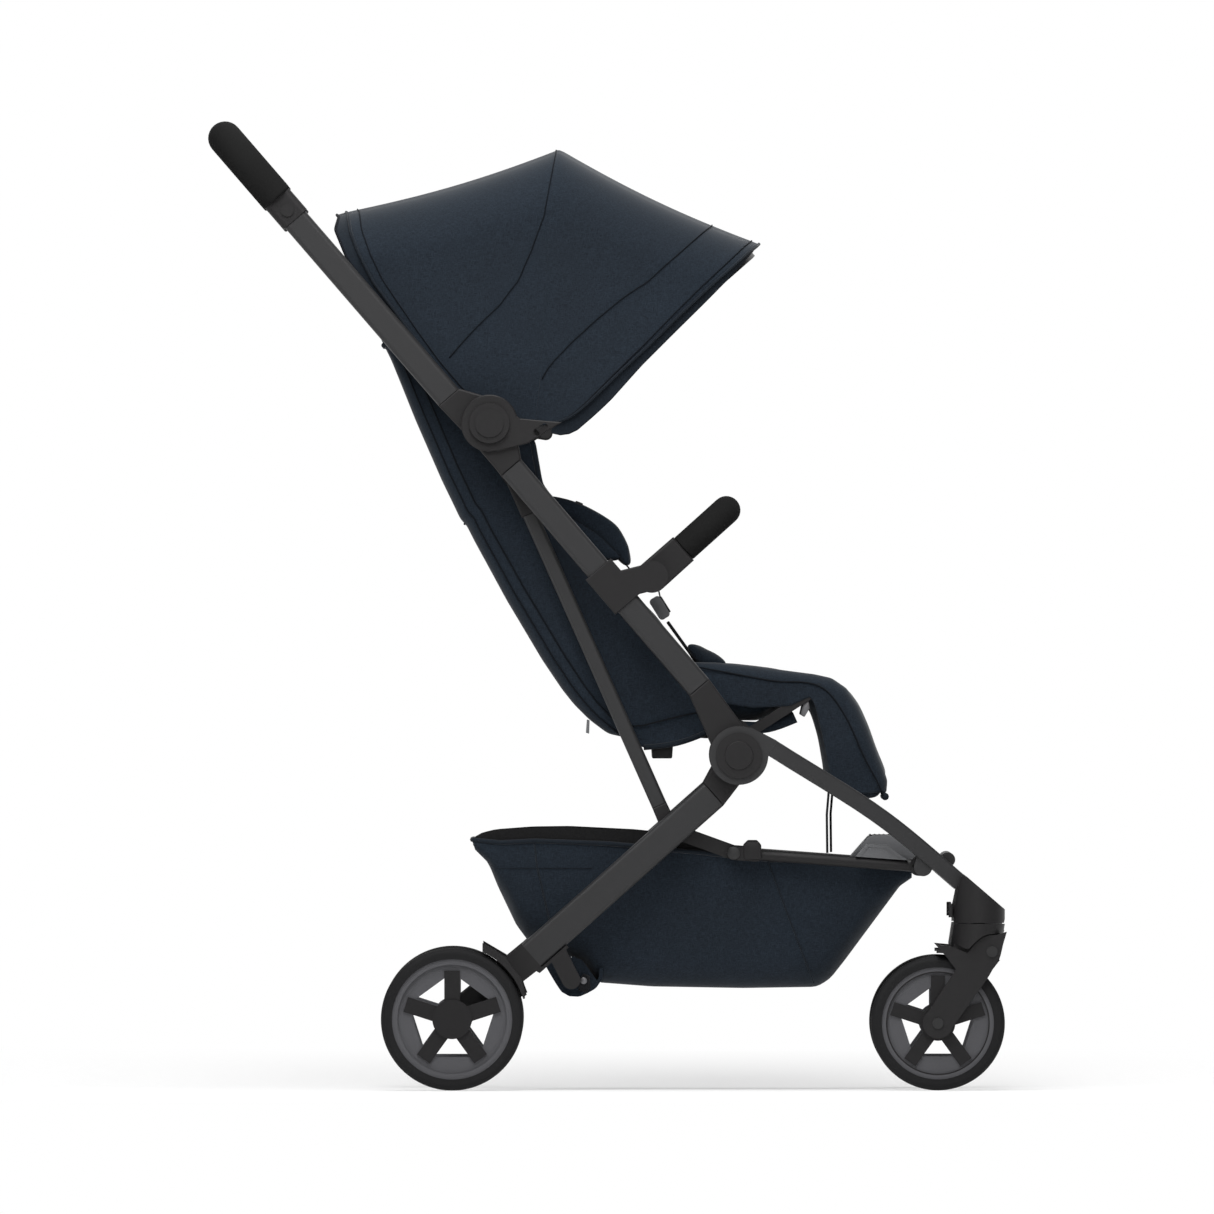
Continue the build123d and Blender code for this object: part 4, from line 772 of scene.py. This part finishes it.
class STROLLER_OT_finishes(bpy.types.Operator):
    """Make every finish and paint the frame's own pieces"""

    bl_idname = "stroller.finishes"
    bl_label = "Finishes"

    def execute(self, context):
        colours = context.scene.stroller_colours
        make_weave_group()
        make_grain_group()
        dark, light = tuple(colours.cloth_dark), tuple(colours.cloth_light)
        moulding, rim = tuple(colours.moulding), tuple(colours.rim)

        def deeper(thread, share):
            return tuple(c * share for c in thread)

        # Name, dark and light thread, fineness, bump and sheen.
        for values in (
            ("navy_cloth", dark, light, 1.0, 0.3, 0.12),
            ("navy_piping", deeper(dark, 0.7), deeper(light, 0.7), 1.4, 0.2, 0.1),
            ("seam_thread", deeper(dark, 0.4), deeper(dark, 0.5), 2.0, 0.1, 0.0),
            ("black_lining", shade(13, 13, 14), shade(27, 27, 28), 0.9, 0.35, 0.1),
            ("webbing", shade(17, 18, 20), shade(36, 37, 40), 1.6, 0.6, 0.1),
        ):
            cloth_material(*values)
        # Name, colour, grain size, roughness, bump, metallic and specular.
        for values in (
            ("frame_paint", tuple(colours.frame_paint), 2200, 0.42, 0.10, 0.2, 0.35),
            ("moulding", moulding, 1500, 0.5, 0.35, 0.0, 0.3),
            ("pale_moulding", shade(96, 97, 99), 1500, 0.5, 0.2, 0.0, 0.3),
            ("rim_plastic", rim, 1600, 0.45, 0.15, 0.0, 0.25),
            ("foam", shade(34, 34, 34), 700, 0.95, 0.8, 0.0, 0.05),
            ("tyre_rubber", shade(29, 29, 30), 900, 0.7, 0.3, 0.0, 0.2),
            ("pin_steel", shade(24, 24, 25), 2500, 0.3, 0.1, 0.0, 0.5),
            ("bright_steel", shade(110, 110, 112), 2500, 0.35, 0.1, 1.0),
            ("bow_enamel", shade(40, 40, 41), 2200, 0.35, 0.1, 0.3),
        ):
            grained_material(*values)
        # Colours, axle in the side view, the layer past which the star shows, and the star's reach.
        wheel_material("rear_wheel_plastic", rim, moulding, (-0.1675, 0.0775), 0.2189, 0.0575)
        wheel_material("front_wheel_plastic", rim, moulding, (0.361, 0.073), 0.19245, 0.0565)
        finishes = {
            "frame_metal": "frame_paint", "dark_plastic": "moulding", "grey_plastic": "pale_moulding",
            "navy_fabric": "navy_cloth", "black_fabric": "black_lining", "bow_steel": "bow_enamel",
        }
        for part in frame["record"]["subparts"]:
            piece = frame["nodes"][part["node"]]
            if isinstance(piece, str):
                piece = bpy.data.objects[piece]
            finish = finishes.get(part["material_slot"], part["material_slot"])
            for prefix in ("rear_wheel", "front_wheel"):
                if part["node"].startswith(prefix):
                    finish = prefix + "_plastic"
            if part["node"] in ("front_rails", "rear_arms", "rear_cross_bar", "front_cross_bar", "seat_frame"):
                finish = "moulding"
            paint(piece, finish)
        return {"FINISHED"}


class STROLLER_OT_canopy(bpy.types.Operator):
    """Stretch the two canopy covers over their bows, with piping and seams"""

    bl_idname = "stroller.canopy"
    bl_label = "Canopy"

    def execute(self, context):
        sizes = context.scene.stroller_sizes

        def rear_place(u, v):
            return canopy_point(CANOPY_REAR, CANOPY_MIDDLE, CANOPY_HALF, sizes.canopy_sag, u, v, 0.0, 0.5)

        def front_place(u, v):
            return canopy_point(CANOPY_MIDDLE, CANOPY_FRONT, CANOPY_HALF, sizes.canopy_sag, u, v, 0.5, 1.0)

        def front_lapped(u, v):
            row = v * 27 - 1
            if row < -0.5:
                return raised(rear_place, u, 0.978, 0.0008, CANOPY_INSIDE)
            return front_place(u, max(0.0, row) / 26)

        middle_rear = Vector((-0.281, 0, 0.954))
        middle_mid = Vector((-0.052, 0, 1.02))
        middle_front = Vector((0.16, 0, 0.915))
        rear_span = ("frame", "canopy_middle", middle_rear, middle_mid)
        front_span = ("canopy_middle", "canopy_front", middle_mid, middle_front)
        for name, place, span, lapped in (
            ("rear", rear_place, rear_span, None), ("front", front_place, front_span, front_lapped),
        ):
            cloth_sheet(
                "canopy_%s_cloth" % name, (120, 26), place, CANOPY_INSIDE, ["navy_cloth"], sizes.cover_wall, 1,
                span, ["canopy_%s_cover" % name], lapped,
            )

        def lining_place(u, v):
            return canopy_point(CANOPY_FRONT, CANOPY_LINING, 0.1665, 0.0, u, v, 1.0, 1.0)

        cloth_sheet(
            "canopy_lining", (90, 5), lining_place, (0.0, 0, 0.78), ["navy_piping"], 0.0012, 0,
            "canopy_front",
        )

        def flap_place(u, v):
            return canopy_point(CANOPY_FLAP, CANOPY_REAR, 0.1682, 0.0, u, v, 0.0, 0.0)

        cloth_sheet(
            "canopy_flap", (100, 6), flap_place, CANOPY_INSIDE, ["navy_piping"], sizes.cover_wall, 0,
            "frame",
        )

        def line(place, t, start=0.0, end=1.0, lift=0.0, steps=120):
            shares = [start + (end - start) * i / steps for i in range(steps + 1)]
            return [raised(place, s, t(s) if callable(t) else t, lift, CANOPY_INSIDE) for s in shares]

        def depth_share(s):
            return 1 - rounded_path(s, CANOPY_HEIGHT, CANOPY_CORNER, CANOPY_HALF)[1] / CANOPY_HEIGHT

        def middle_seam(s):
            return between(
                [(0.25, 0.0), (0.33, 0.24), (0.42, 0.49), (0.48, 0.66), (0.56, 0.80), (0.66, 0.88),
                 (0.78, 0.945), (1.0, 0.985)],
                depth_share(s),
            )

        def visor_seam(s):
            return between(
                [(0.18, 0.003), (0.30, 0.25), (0.40, 0.40), (0.52, 0.53), (0.69, 0.68), (0.85, 0.735),
                 (1.0, 0.775)],
                depth_share(s),
            )

        fine, lift = 0.0007, 0.0006
        thick = sizes.piping
        for name, points, radius, finish, span in (
            ("flap_piping", line(flap_place, 0.0, 0.04, 0.96), thick, "seam_thread", rear_span),
            ("rear_piping", line(rear_place, 0.0), thick, "navy_piping", rear_span),
            ("rear_piping_second", line(rear_place, 0.05, 0.0, 1.0, lift), fine, "seam_thread", rear_span),
            ("middle_seam", line(rear_place, middle_seam, 0.10, 0.90, lift), fine, "seam_thread", rear_span),
            ("front_piping", line(front_place, 1.0), thick, "navy_piping", front_span),
            ("front_stitch", line(front_place, 0.965, 0.0, 1.0, lift), fine, "seam_thread", front_span),
            ("visor_seam", line(front_place, visor_seam, 0.058, 0.942, lift), fine, "seam_thread", front_span),
        ):
            finish_piece(tube("canopy_" + name, points, radius), span, "navy_fabric", finish)

        # The curtain that closes the back, from the rear bow down to the top of the seat.
        def curtain_place(u, v):
            top = Vector((-0.289 - 0.003 * sin(pi * u), 0, 0.952))
            foot = Vector((-0.2365, 0, 0.800))
            y = (u - 0.5) * 2 * (0.1405 - 0.004 * v)
            at = top.lerp(foot, v)
            at.x -= 0.006 * sin(pi * v) * (1 - 0.6 * abs(2 * u - 1)) + 0.0012 * sin(26 * u) * v * (1 - v) * 4
            corner = max(0.0, abs(2 * u - 1) - 0.62) / 0.38
            at.z -= 0.055 * corner ** 2 * (1 - v)
            at.x += 0.030 * corner ** 2 * (1 - v)
            return Vector((at.x, y, at.z))

        cloth_sheet(
            "canopy_back_curtain", (60, 24), curtain_place, (0.2, 0, 0.88), ["navy_cloth"], sizes.cover_wall, 1,
            ("frame", "backrest", (-0.287, 0, 0.925), (-0.242, 0, 0.815)),
        )
        return {"FINISHED"}


class STROLLER_OT_seat_shell(bpy.types.Operator):
    """Wrap the seat's outer shell round the back, with bound edges and double seams"""

    bl_idname = "stroller.seat_shell"
    bl_label = "Seat shell"

    def execute(self, context):
        sizes = context.scene.stroller_sizes
        shell = sheet_from("seat_shell", 110, 90, back_point, (0.05, 0, 0.62))
        thicken(shell, sizes.shell_wall, 1)
        smooth(shell, 60)
        finish_piece(shell, "backrest", "navy_fabric", "navy_cloth", ["seat_back"])

        def on_shell(name, points, radius, material="seam_thread", sides=6):
            finish_piece(tube(name, points, radius, sides=sides), "backrest", "navy_fabric", material)

        rows = [i / 80 for i in range(81)]
        for side, name in SIDES:
            share = 0.0 if side < 0 else 1.0
            on_shell("seat_binding_" + name, [back_point(share, t) for t in rows], 0.0030, "navy_piping", 8)
            for number, inset in enumerate((0.0115, 0.0235)):
                seam = []
                for t in rows[3:-2]:
                    rear = at_share(BACK_REAR, t)
                    front = at_share(BACK_FRONT, between(BACK_MATCH, t))
                    at = rear + (front - rear).normalized() * inset
                    seam.append((at.x, side * BACK_HALF, at.y))
                on_shell("seat_seam_%s_%d" % (name, number), seam, 0.0010)
            band = [(x, side * 0.1480, z) for x, z in mm((25, 396), (40, 397), (80, 407), (104, 412))]
            on_shell("seat_band_seam_" + name, densified(band, 6), 0.0010)
            side_plate(
                "seat_back_bracket_", side, mm((50, 361), (72, 361), (73, 376), (49, 375)), 0.121, 0.006,
                0.0015, "backrest", "dark_plastic", "moulding",
            )
            side_plate(
                "seat_back_pull_", side, mm((-22, 389), (-18.5, 388), (-18, 402), (-21, 403)), 0.1475, 0.0012,
                0.0005, "backrest", "webbing", "pale_moulding",
            )
        on_shell("seat_top_binding", [back_point(i / 60, 1.0) for i in range(61)], 0.0030, "navy_piping", 8)
        on_shell("seat_step_seam", [(-0.1545, y / 20 * 0.132, 0.6165) for y in range(-20, 21)], 0.0010)

        # Padding inside the shell: one long back pad.
        inner = moved_line(BACK_REAR[3:], -0.0062)
        outer = moved_line(BACK_REAR[3:], -0.0125)
        pad = prism("back_pad", inner + outer[::-1], -0.126, 0.126, 0)
        plump(pad, 0.006, sizes.plumpness * 0.6)
        finish_piece(pad, "backrest", "navy_fabric", "navy_cloth")
        return {"FINISHED"}


class STROLLER_OT_seat_pads(bpy.types.Operator):
    """Fill the seat cushion and the leg rest"""

    bl_idname = "stroller.seat_pads"
    bl_label = "Seat pads"

    def execute(self, context):
        sizes = context.scene.stroller_sizes
        cushion_line = mm(
            (33, 419), (35, 436), (66, 450), (100, 458), (134, 459), (170, 455), (203, 450.5),
            (212, 449), (210, 434), (199, 427), (186, 422), (169, 408), (110, 409), (60, 411),
        )
        cushion = prism("seat_cushion_pad", cushion_line, -0.131, 0.131, 0)
        plump(cushion, 0.006, sizes.plumpness)
        finish_piece(cushion, "frame", "navy_fabric", "navy_cloth", ["seat_cushion"])

        rest_line = mm(
            (228, 449), (245, 445), (260, 434), (272, 417), (282, 394), (291, 368), (298, 352),
            (303, 338), (301, 322), (297, 315), (262, 317), (243, 328), (242, 350), (236, 385),
            (228, 412), (220, 424), (219, 440),
        )
        rest = prism("leg_rest_pad", rest_line, -0.125, 0.125, 0)
        plump(rest, 0.006, sizes.plumpness * 0.8)
        finish_piece(rest, "calf_rest", "navy_fabric", "navy_cloth", ["leg_rest"])

        # One cloth runs from the seat over the hinge and down the leg rest's front.
        over = mm(
            (88, 466), (120, 465.5), (160, 461.5), (205, 455.5), (228, 452.5), (246, 448.5),
            (262, 437.5), (275, 418.5), (285.5, 395), (296, 366), (302, 351), (306.5, 337), (305.5, 324),
        )
        under = mm(
            (88, 424), (120, 422), (160, 416), (200, 418), (222, 428), (227, 420), (230, 408),
            (233, 396), (236, 384), (239, 370), (242, 354), (246, 338), (262, 322),
        )

        def cover_place(u, v):
            top, low = at_share(over, v), under_match(under, v)
            y, below = rounded_path(u, (top - low).length, 0.016, 0.1385 - 0.008 * smooth_step(0.72, 1.0, v))
            at = top.lerp(low, below / (top - low).length)
            return Vector((at.x, y, at.y))

        def under_match(points, share):
            return at_share(points, between([(0.0, 0.0), (0.40, 0.53), (0.52, 0.62), (1.0, 1.0)], share))

        knee = ("frame", "calf_rest", (0.215, 0, 0.452), (0.262, 0, 0.430))
        cloth_sheet(
            "seat_front_cloth", (90, 90), cover_place, (0.2, 0, 0.40), ["navy_cloth"], 0.0022, 1,
            knee,
        )
        side_line = mm(
            (100, 460.5), (147, 452), (187, 444), (214, 445), (235, 440), (250, 425), (267, 396),
            (280, 363), (297, 334), (302, 320),
        )
        for side, name in SIDES:
            points = [
                (x, side * (0.1388 - 0.006 * smooth_step(0.276, 0.306, x)), z) for x, z in side_line
            ]
            finish_piece(tube("seat_piping_" + name, points, 0.0010), knee, "navy_fabric", "seam_thread")
            roll = tube(
                "seat_roll_" + name,
                [(x, side * 0.121, z) for x, z in mm((140, 396), (165, 393), (188, 398), (206, 406))], 0.0065,
                sides=10,
            )
            finish_piece(roll, "frame", "navy_fabric", "navy_cloth")
            side_plate(
                "seat_clip_", side, mm((211, 409), (216, 406), (222, 416), (221, 424), (214, 421)), 0.131,
                0.003, 0.001, "frame", "pin_steel", "bright_steel",
            )
        # The leg rest's two cords hang from its back into the basket.
        for side, name in SIDES:
            lean = 0.0025 * (1 + side)
            hang = mm((243, 330), (240.5, 300), (241, 258))
            drop = densified([(x + lean, side * 0.112, z) for x, z in hang], 8)
            cord = tube("leg_rest_cord_" + name, drop, 0.0013, smooth_line=False, sides=8)
            finish_piece(cord, "frame", "webbing", "webbing")
            run = sum((Vector(b) - Vector(a)).length for a, b in zip(drop, drop[1:]))
            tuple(drop[0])
        lip = tube("leg_rest_lip", [(0.304, y * 0.0128, 0.3195) for y in range(-10, 11)], 0.0042, sides=10)
        finish_piece(lip, "calf_rest", "navy_fabric", "navy_piping")
        return {"FINISHED"}


class STROLLER_OT_basket(bpy.types.Operator):
    """Hang the basket under the seat, with its hem, seams and bar strap"""

    bl_idname = "stroller.basket"
    bl_label = "Basket"

    def execute(self, context):
        sizes = context.scene.stroller_sizes
        tub = cloth_sheet(
            "basket_cloth", (110, 90), basket_point, (0.1, 0, 0.24), ["navy_cloth", "black_lining"],
            sizes.cover_wall, 0, "rear_frame", ["basket"],
        )

        def band_place(u, v):
            around = 2 * 0.255 + 0.288
            run = u * around
            if run < 0.255:
                x, y = 0.110 - run, -0.1455
            elif run > around - 0.255:
                x, y = 0.110 - (around - run), 0.1455
            else:
                x, y = -0.1450, run - 0.255 - 0.144
            low = between(BASKET_RIM, x) - 0.006
            high = max(low + 0.002, between(BASKET_BAND, x))
            lean = 0.0015 * v
            return Vector((x + lean * (abs(y) < 0.1454), y * (1 - 0.01 * v), low + (high - low) * v))

        band = cloth_sheet(
            "basket_band", (120, 5), band_place, (0.0, 0, 0.275), ["black_lining"], sizes.cover_wall, 0,
            "rear_frame",
        )

        steps = [i / 70 for i in range(71)]
        rim = [basket_point(u, 0.0) for u in steps] + [basket_point(u, 1.0) for u in reversed(steps)]
        trims = [tube("basket_hem", rim, 0.0026, closed=True, sides=8)]
        for name, corners in (
            ("basket_pleat_", [(0.176, 0.250), (0.200, 0.185), (0.2265, 0.116)]),
            ("basket_rear_seam_", [(-0.078, 0.2700), (-0.0755, 0.245), (-0.063, 0.190), (-0.058, 0.166)]),
        ):
            for side, word in SIDES:
                seam = [(x, side * basket_half(x, z), z) for x, z in densified(corners, 14)]
                trims.append(tube(name + word, seam, 0.0009))
        for side, word in SIDES:
            places = [-0.125 + 0.01 * i for i in range(12)]
            stitch = [(x, side * basket_half(x, 0.2415), 0.2415) for x in places]
            trims.append(tube("basket_stitch_" + word, stitch, 0.0005))
        for trim in trims:
            finish_piece(trim, "rear_frame", "black_fabric", "navy_piping")
        for piece in [tub, band] + trims:
            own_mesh(piece)

        # The basket's loops round the rear bar, each closed by a stud on a tab.
        loop_line = mm(
            (-64, 140), (-59, 131), (-52, 119), (-46, 110), (-39, 106), (-30, 105.5), (-22, 109),
            (-14, 113.5), (-8, 122), (-7, 133),
        )
        tab_line = mm((-30, 108.5), (-21, 106), (-17, 112), (-18, 124), (-24, 127), (-29, 121))
        stud_line = disc_line((-0.0245, 0.119), 0.0038, 16)
        clip_line = mm((150, 251), (169, 251), (169, 267), (165, 271), (155, 271), (150, 266))
        bolt_line = disc_line((0.139, 0.258), 0.007, 24)
        # The gusset's line goes on along the basket's underside and round the bar.
        round_bar = mm((-9, 118), (-26, 141.5), (-37.8, 146), (-37.8, 129.7)) + [
            (-0.038 + 0.0097 * sin(pi * i / 12), 0.120 + 0.0097 * cos(pi * i / 12)) for i in range(1, 24)
        ] + mm((-38.2, 129.7), (-38.2, 146), (-64, 155))
        gusset_line = loop_line[:-2] + round_bar
        for side, word in SIDES:
            loop = ribbon("bar_loop_" + word, loop_line, 0.088, side * 0.094, 0.004)
            finish_piece(loop, "rear_frame", "navy_fabric", "navy_cloth")
            for name, profile, layer, thick, bevel, body, slot, material in (
                ("bar_gusset_", gusset_line, 0.1365, 0.0010, 0, "rear_frame", "navy_fabric", "navy_cloth"),
                ("rail_bolt_", bolt_line, 0.1711, 0.0005, 0.0004, "rail_pair", "pin_steel", "pin_steel"),
                ("bar_tab_", tab_line, 0.1395, 0.0012, 0.0006, "rear_frame", "webbing", "webbing"),
                ("bar_stud_", stud_line, 0.1415, 0.0010, 0.0005, "rear_frame", "pin_steel", "bright_steel"),
                ("rail_clip_", clip_line, 0.164, 0.0078, 0.001, "rail_pair", "dark_plastic", "moulding"),
            ):
                side_plate(name, side, profile, layer, thick, bevel, body, slot, material)
        tread = prism(
            "footrest_tread",
            mm(
                (266.5, 254), (277, 266), (286, 276), (292, 277.5), (312, 277.5), (321, 273.5), (333, 264),
                (338.5, 256), (333, 251), (272, 253),
            ),
            -0.1206, 0.1206, 0.001,
        )
        finish_piece(tread, "rail_pair", "grey_plastic", "pale_moulding")
        # The ribs are the tread's own grey plastic. They are painted in the dark moulding as painted shade for
        # the grooves between them.
        for number in range(6):
            x = 0.2885 + 0.0050 * number
            rib = tube("footrest_rib_%d" % number, [(x, y, 0.2768) for y in (-0.119, 0.0, 0.119)], 0.0013)
            finish_piece(rib, "rail_pair", "grey_plastic", "moulding")
        return {"FINISHED"}


class STROLLER_OT_harness(bpy.types.Operator):
    """Lay the harness: shoulder pads, webbing, buckle strap"""

    bl_idname = "stroller.harness"
    bl_label = "Harness"

    def execute(self, context):
        sizes = context.scene.stroller_sizes
        upper = mm(
            (-66, 648), (-42, 643), (-27, 638), (0, 623), (13, 613), (24, 593), (28, 570),
            (20, 570), (12, 583), (-4, 600), (-25, 615), (-46, 625), (-66, 632),
        )
        lower = mm(
            (-52, 630), (-28, 619), (-5, 604), (10, 590), (18, 581.5), (14, 576), (-2, 577),
            (-20, 587), (-38, 600), (-54, 613),
        )
        for side, name in SIDES:
            middle = side * 0.055
            for label, profile, inset in (("shoulder_pad_", upper, 0.0), ("shoulder_pad_fold_", lower, 0.002)):
                pad = prism(label + name, profile, middle - 0.0205 + inset, middle + 0.0205 - inset, 0)
                plump(pad, 0.004, sizes.plumpness * 0.4)
                stands_for = ["harness_pads"] if side < 0 and label == "shoulder_pad_" else ()
                finish_piece(pad, "backrest", "black_fabric", "navy_cloth", stands_for)
            slider = prism(
                "strap_slider_" + name, mm((-33, 642), (-25, 639), (-27, 632.5), (-35, 635.5)), middle - 0.017,
                middle + 0.017, 0.001,
            )
            finish_piece(slider, "backrest", "black_fabric", "moulding")
            shoulder = ribbon(
                "shoulder_strap_" + name, mm((-158, 664), (-132, 666), (-100, 656), (-66, 642)), 0.025, middle
            )
            waist = ribbon(
                "waist_strap_" + name, mm((22, 573), (31, 563), (45, 553), (58, 545), (60, 536)), 0.025, middle
            )
            stands_for = ["harness_straps"] if side < 0 else ()
            finish_piece(shoulder, "backrest", "webbing", "webbing", stands_for)
            finish_piece(waist, "backrest", "webbing", "webbing")
        flap = prism(
            "crotch_flap",
            mm((86, 486), (93, 487), (106, 478), (124, 470.5), (137, 463), (122, 458), (98, 466)),
            -0.028, 0.028, 0,
        )
        plump(flap, 0.005, 0.003)
        finish_piece(flap, "frame", "navy_fabric", "navy_cloth")
        crotch_line = mm((67, 510), (77, 496), (90, 478), (101, 462))
        crotch = prism(
            "crotch_pad",
            moved_line(crotch_line, 0.0018) + moved_line(crotch_line, -0.0018)[::-1],
            -0.016, 0.016, 0.001,
        )
        finish_piece(crotch, "frame", "webbing", "webbing", ["crotch_strap"])
        return {"FINISHED"}


class STROLLER_OT_grips(bpy.types.Operator):
    """Slide the foam sleeves on the push bar and the bumper bar"""

    bl_idname = "stroller.grips"
    bl_label = "Foam grips"

    def execute(self, context):
        sizes = context.scene.stroller_sizes
        foot, top = grip_ends(), (-0.415, 1.0365)
        sleeve = sleeve_round("push_bar_foam", foot, top, 0.18025, 0.046, sizes.foam_radius)
        finish_piece(sleeve, "handle", "foam", "foam", ["handle_grip"])
        bar = sleeve_round("bumper_foam", (0.0844, 0.5896), (0.131, 0.6315), 0.155, 0.044, 0.0155)
        finish_piece(bar, "bumper", "foam", "foam", ["bumper_grip"])
        return {"FINISHED"}


def seen_directly(tree, x, *rays):
    """Mask of the rays of some kinds, such as the camera's own."""
    path = node(tree, "ShaderNodeLightPath", x, 0).outputs
    mask = path["Is " + rays[0] + " Ray"]
    for number, ray in enumerate(rays[1:], 1):
        mask = calculated(tree, "MAXIMUM", x + 200 * number, 0, mask, path["Is " + ray + " Ray"])
    return mask


def floor_material():
    """White floor that keeps its shadow near the wheels and is plain white to the eye further off."""
    tree, shader, output = blank_material("floor_white")
    fill(tree, shader, {"Base Color": (0.93, 0.93, 0.93), "Roughness": 0.9, "Specular IOR Level": 0.0})
    seen = seen_directly(tree, -900, "Camera", "Glossy", "Transmission")
    place = object_place(tree, -900, -300)
    away = node(tree, "ShaderNodeVectorMath", -700, -300, {0: place}, operation="LENGTH").outputs["Value"]
    height = node(tree, "ShaderNodeSeparateXYZ", -700, -500, {0: place}).outputs["Z"]
    far = ranged(tree, away, -500, -300, from_min=0.75, from_max=1.5)
    high = ranged(tree, height, -500, -500, from_min=0.008, from_max=0.038, to_min=0.45)
    faded = calculated(tree, "MAXIMUM", -300, -400, far, high)
    glow = node(tree, "ShaderNodeEmission", 300, 300).outputs[0]
    share = calculated(tree, "MULTIPLY", -100, 200, faded, seen)
    lit = node(tree, "ShaderNodeMixShader", 500, 200, {0: share, 1: shader.outputs[0], 2: glow}).outputs[0]
    # Seen from behind or from below, the sweep doesn't hide the stroller.
    behind = node(tree, "ShaderNodeNewGeometry", -300, 500).outputs["Backfacing"]
    through = calculated(tree, "MULTIPLY", -100, 450, behind, seen_directly(tree, -500, "Camera"))
    clear = node(tree, "ShaderNodeBsdfTransparent", 500, 400).outputs[0]
    open_back = node(tree, "ShaderNodeMixShader", 700, 300, {0: through, 1: lit, 2: clear})
    fill(tree, output, {"Surface": open_back.outputs[0]})


def studio_world():
    """Soft light from all sides, and plain white behind the stroller."""
    world = bpy.data.worlds.new("studio")
    world.use_nodes = True
    tree = world.node_tree
    tree.nodes.clear()
    seen = seen_directly(tree, -700, "Camera", "Transmission")
    light, white = (
        node(tree, "ShaderNodeBackground", -100, y, {"Color": (1, 1, 1), "Strength": strength}).outputs[0]
        for y, strength in ((100, 0.24), (-100, 1.0))
    )
    mix = node(tree, "ShaderNodeMixShader", 100, 0, {0: seen, 1: light, 2: white})
    node(tree, "ShaderNodeOutputWorld", 300, 0, {"Surface": mix.outputs[0]})
    return world


def placed(name, data, location):
    """An object for a lamp or a camera at a place."""
    holder = bpy.data.objects.new(name, data)
    bpy.context.collection.objects.link(holder)
    holder.location = location
    return holder


class STROLLER_OT_stage(bpy.types.Operator):
    """Set the floor, the lamps, the world and the camera"""

    bl_idname = "stroller.stage"
    bl_label = "Stage"

    def execute(self, context):
        scene = context.scene

        # A studio sweep: flat under the wheels, then rising gently behind them.
        def sweep(u, v):
            y = -6 + 12 * v ** 0.5 if v > 0.25 else -6 + 24 * v
            return Vector((12 * (u - 0.5), y, 0.32 * max(0.0, y - SWEEP_START) ** 2))

        floor = sheet_from("floor", 2, 400, sweep, (0, 0, -9))
        smooth(floor, 60)
        floor_material()
        paint(floor, "floor_white")
        scene.world = studio_world()

        # Each lamp's name, place, aim, size in metres and power in watts.
        lamps = (
            ("key", (-0.4, -1.9, 2.6), (0.0, 0.0, 0.7), 2.0, 70),
            ("top", (0.3, 0.9, 3.0), (0.0, 0.0, 0.4), 2.4, 34),
            ("front", (0.4, -3.2, 1.2), (0.0, 0.0, 0.6), 2.0, 12),
            ("strip", (0.0, -0.75, 2.6), (0.0, 0.0, 0.4), 0.5, 12),
        )
        for name, place, aim, size, power in lamps:
            lamp = bpy.data.lights.new(name, "AREA")
            lamp.shape = "SQUARE"
            lamp.size = size
            lamp.energy = power
            holder = placed(name, lamp, place)
            holder.rotation_euler = (Vector(aim) - Vector(place)).to_track_quat("-Z", "Y").to_euler()

        view = bpy.data.cameras.new("side_view")
        view.sensor_width = 36
        view.lens = view.sensor_width * CAMERA_DISTANCE / PHOTO_WIDTH
        view.clip_end = 2 * CAMERA_DISTANCE
        scene.camera = placed("side_view", view, (0.001, -0.20 - CAMERA_DISTANCE, 0.526))
        scene.camera.rotation_euler = (radians(90), 0, 0)
        scene.view_settings.view_transform = "Standard"
        return {"FINISHED"}


class STROLLER_PT_pieces(bpy.types.Panel):
    """Every piece of the stroller's dressing"""

    bl_label = "Stroller"
    bl_idname = "STROLLER_PT_pieces"
    bl_space_type = "VIEW_3D"
    bl_region_type = "UI"
    bl_category = "Stroller"

    def draw(self, context):
        column = self.layout.column()
        for group_of in (context.scene.stroller_sizes, context.scene.stroller_colours):
            for key in group_of.__annotations__:
                column.prop(group_of, key)
        for operator in OPERATORS:
            column.operator(operator.bl_idname)


OPERATORS = (
    STROLLER_OT_finishes,
    STROLLER_OT_canopy,
    STROLLER_OT_seat_shell,
    STROLLER_OT_seat_pads,
    STROLLER_OT_basket,
    STROLLER_OT_harness,
    STROLLER_OT_grips,
    STROLLER_OT_stage,
)
CLASSES = (StrollerSizes, StrollerColours, *OPERATORS, STROLLER_PT_pieces)


def register():
    """Register the classes and give each scene its sizes and colours."""
    for made in CLASSES:
        bpy.utils.register_class(made)
    bpy.types.Scene.stroller_sizes = PointerProperty(type=StrollerSizes)
    bpy.types.Scene.stroller_colours = PointerProperty(type=StrollerColours)


def unregister():
    """Take the sizes, colours and classes away again."""
    del bpy.types.Scene.stroller_colours
    del bpy.types.Scene.stroller_sizes
    for made in reversed(CLASSES):
        bpy.utils.unregister_class(made)


def main():
    """Build every piece in order."""
    register()
    for operator in OPERATORS:
        getattr(bpy.ops.stroller, operator.bl_idname.split(".")[1])()


if __name__ == "__main__":
    main()
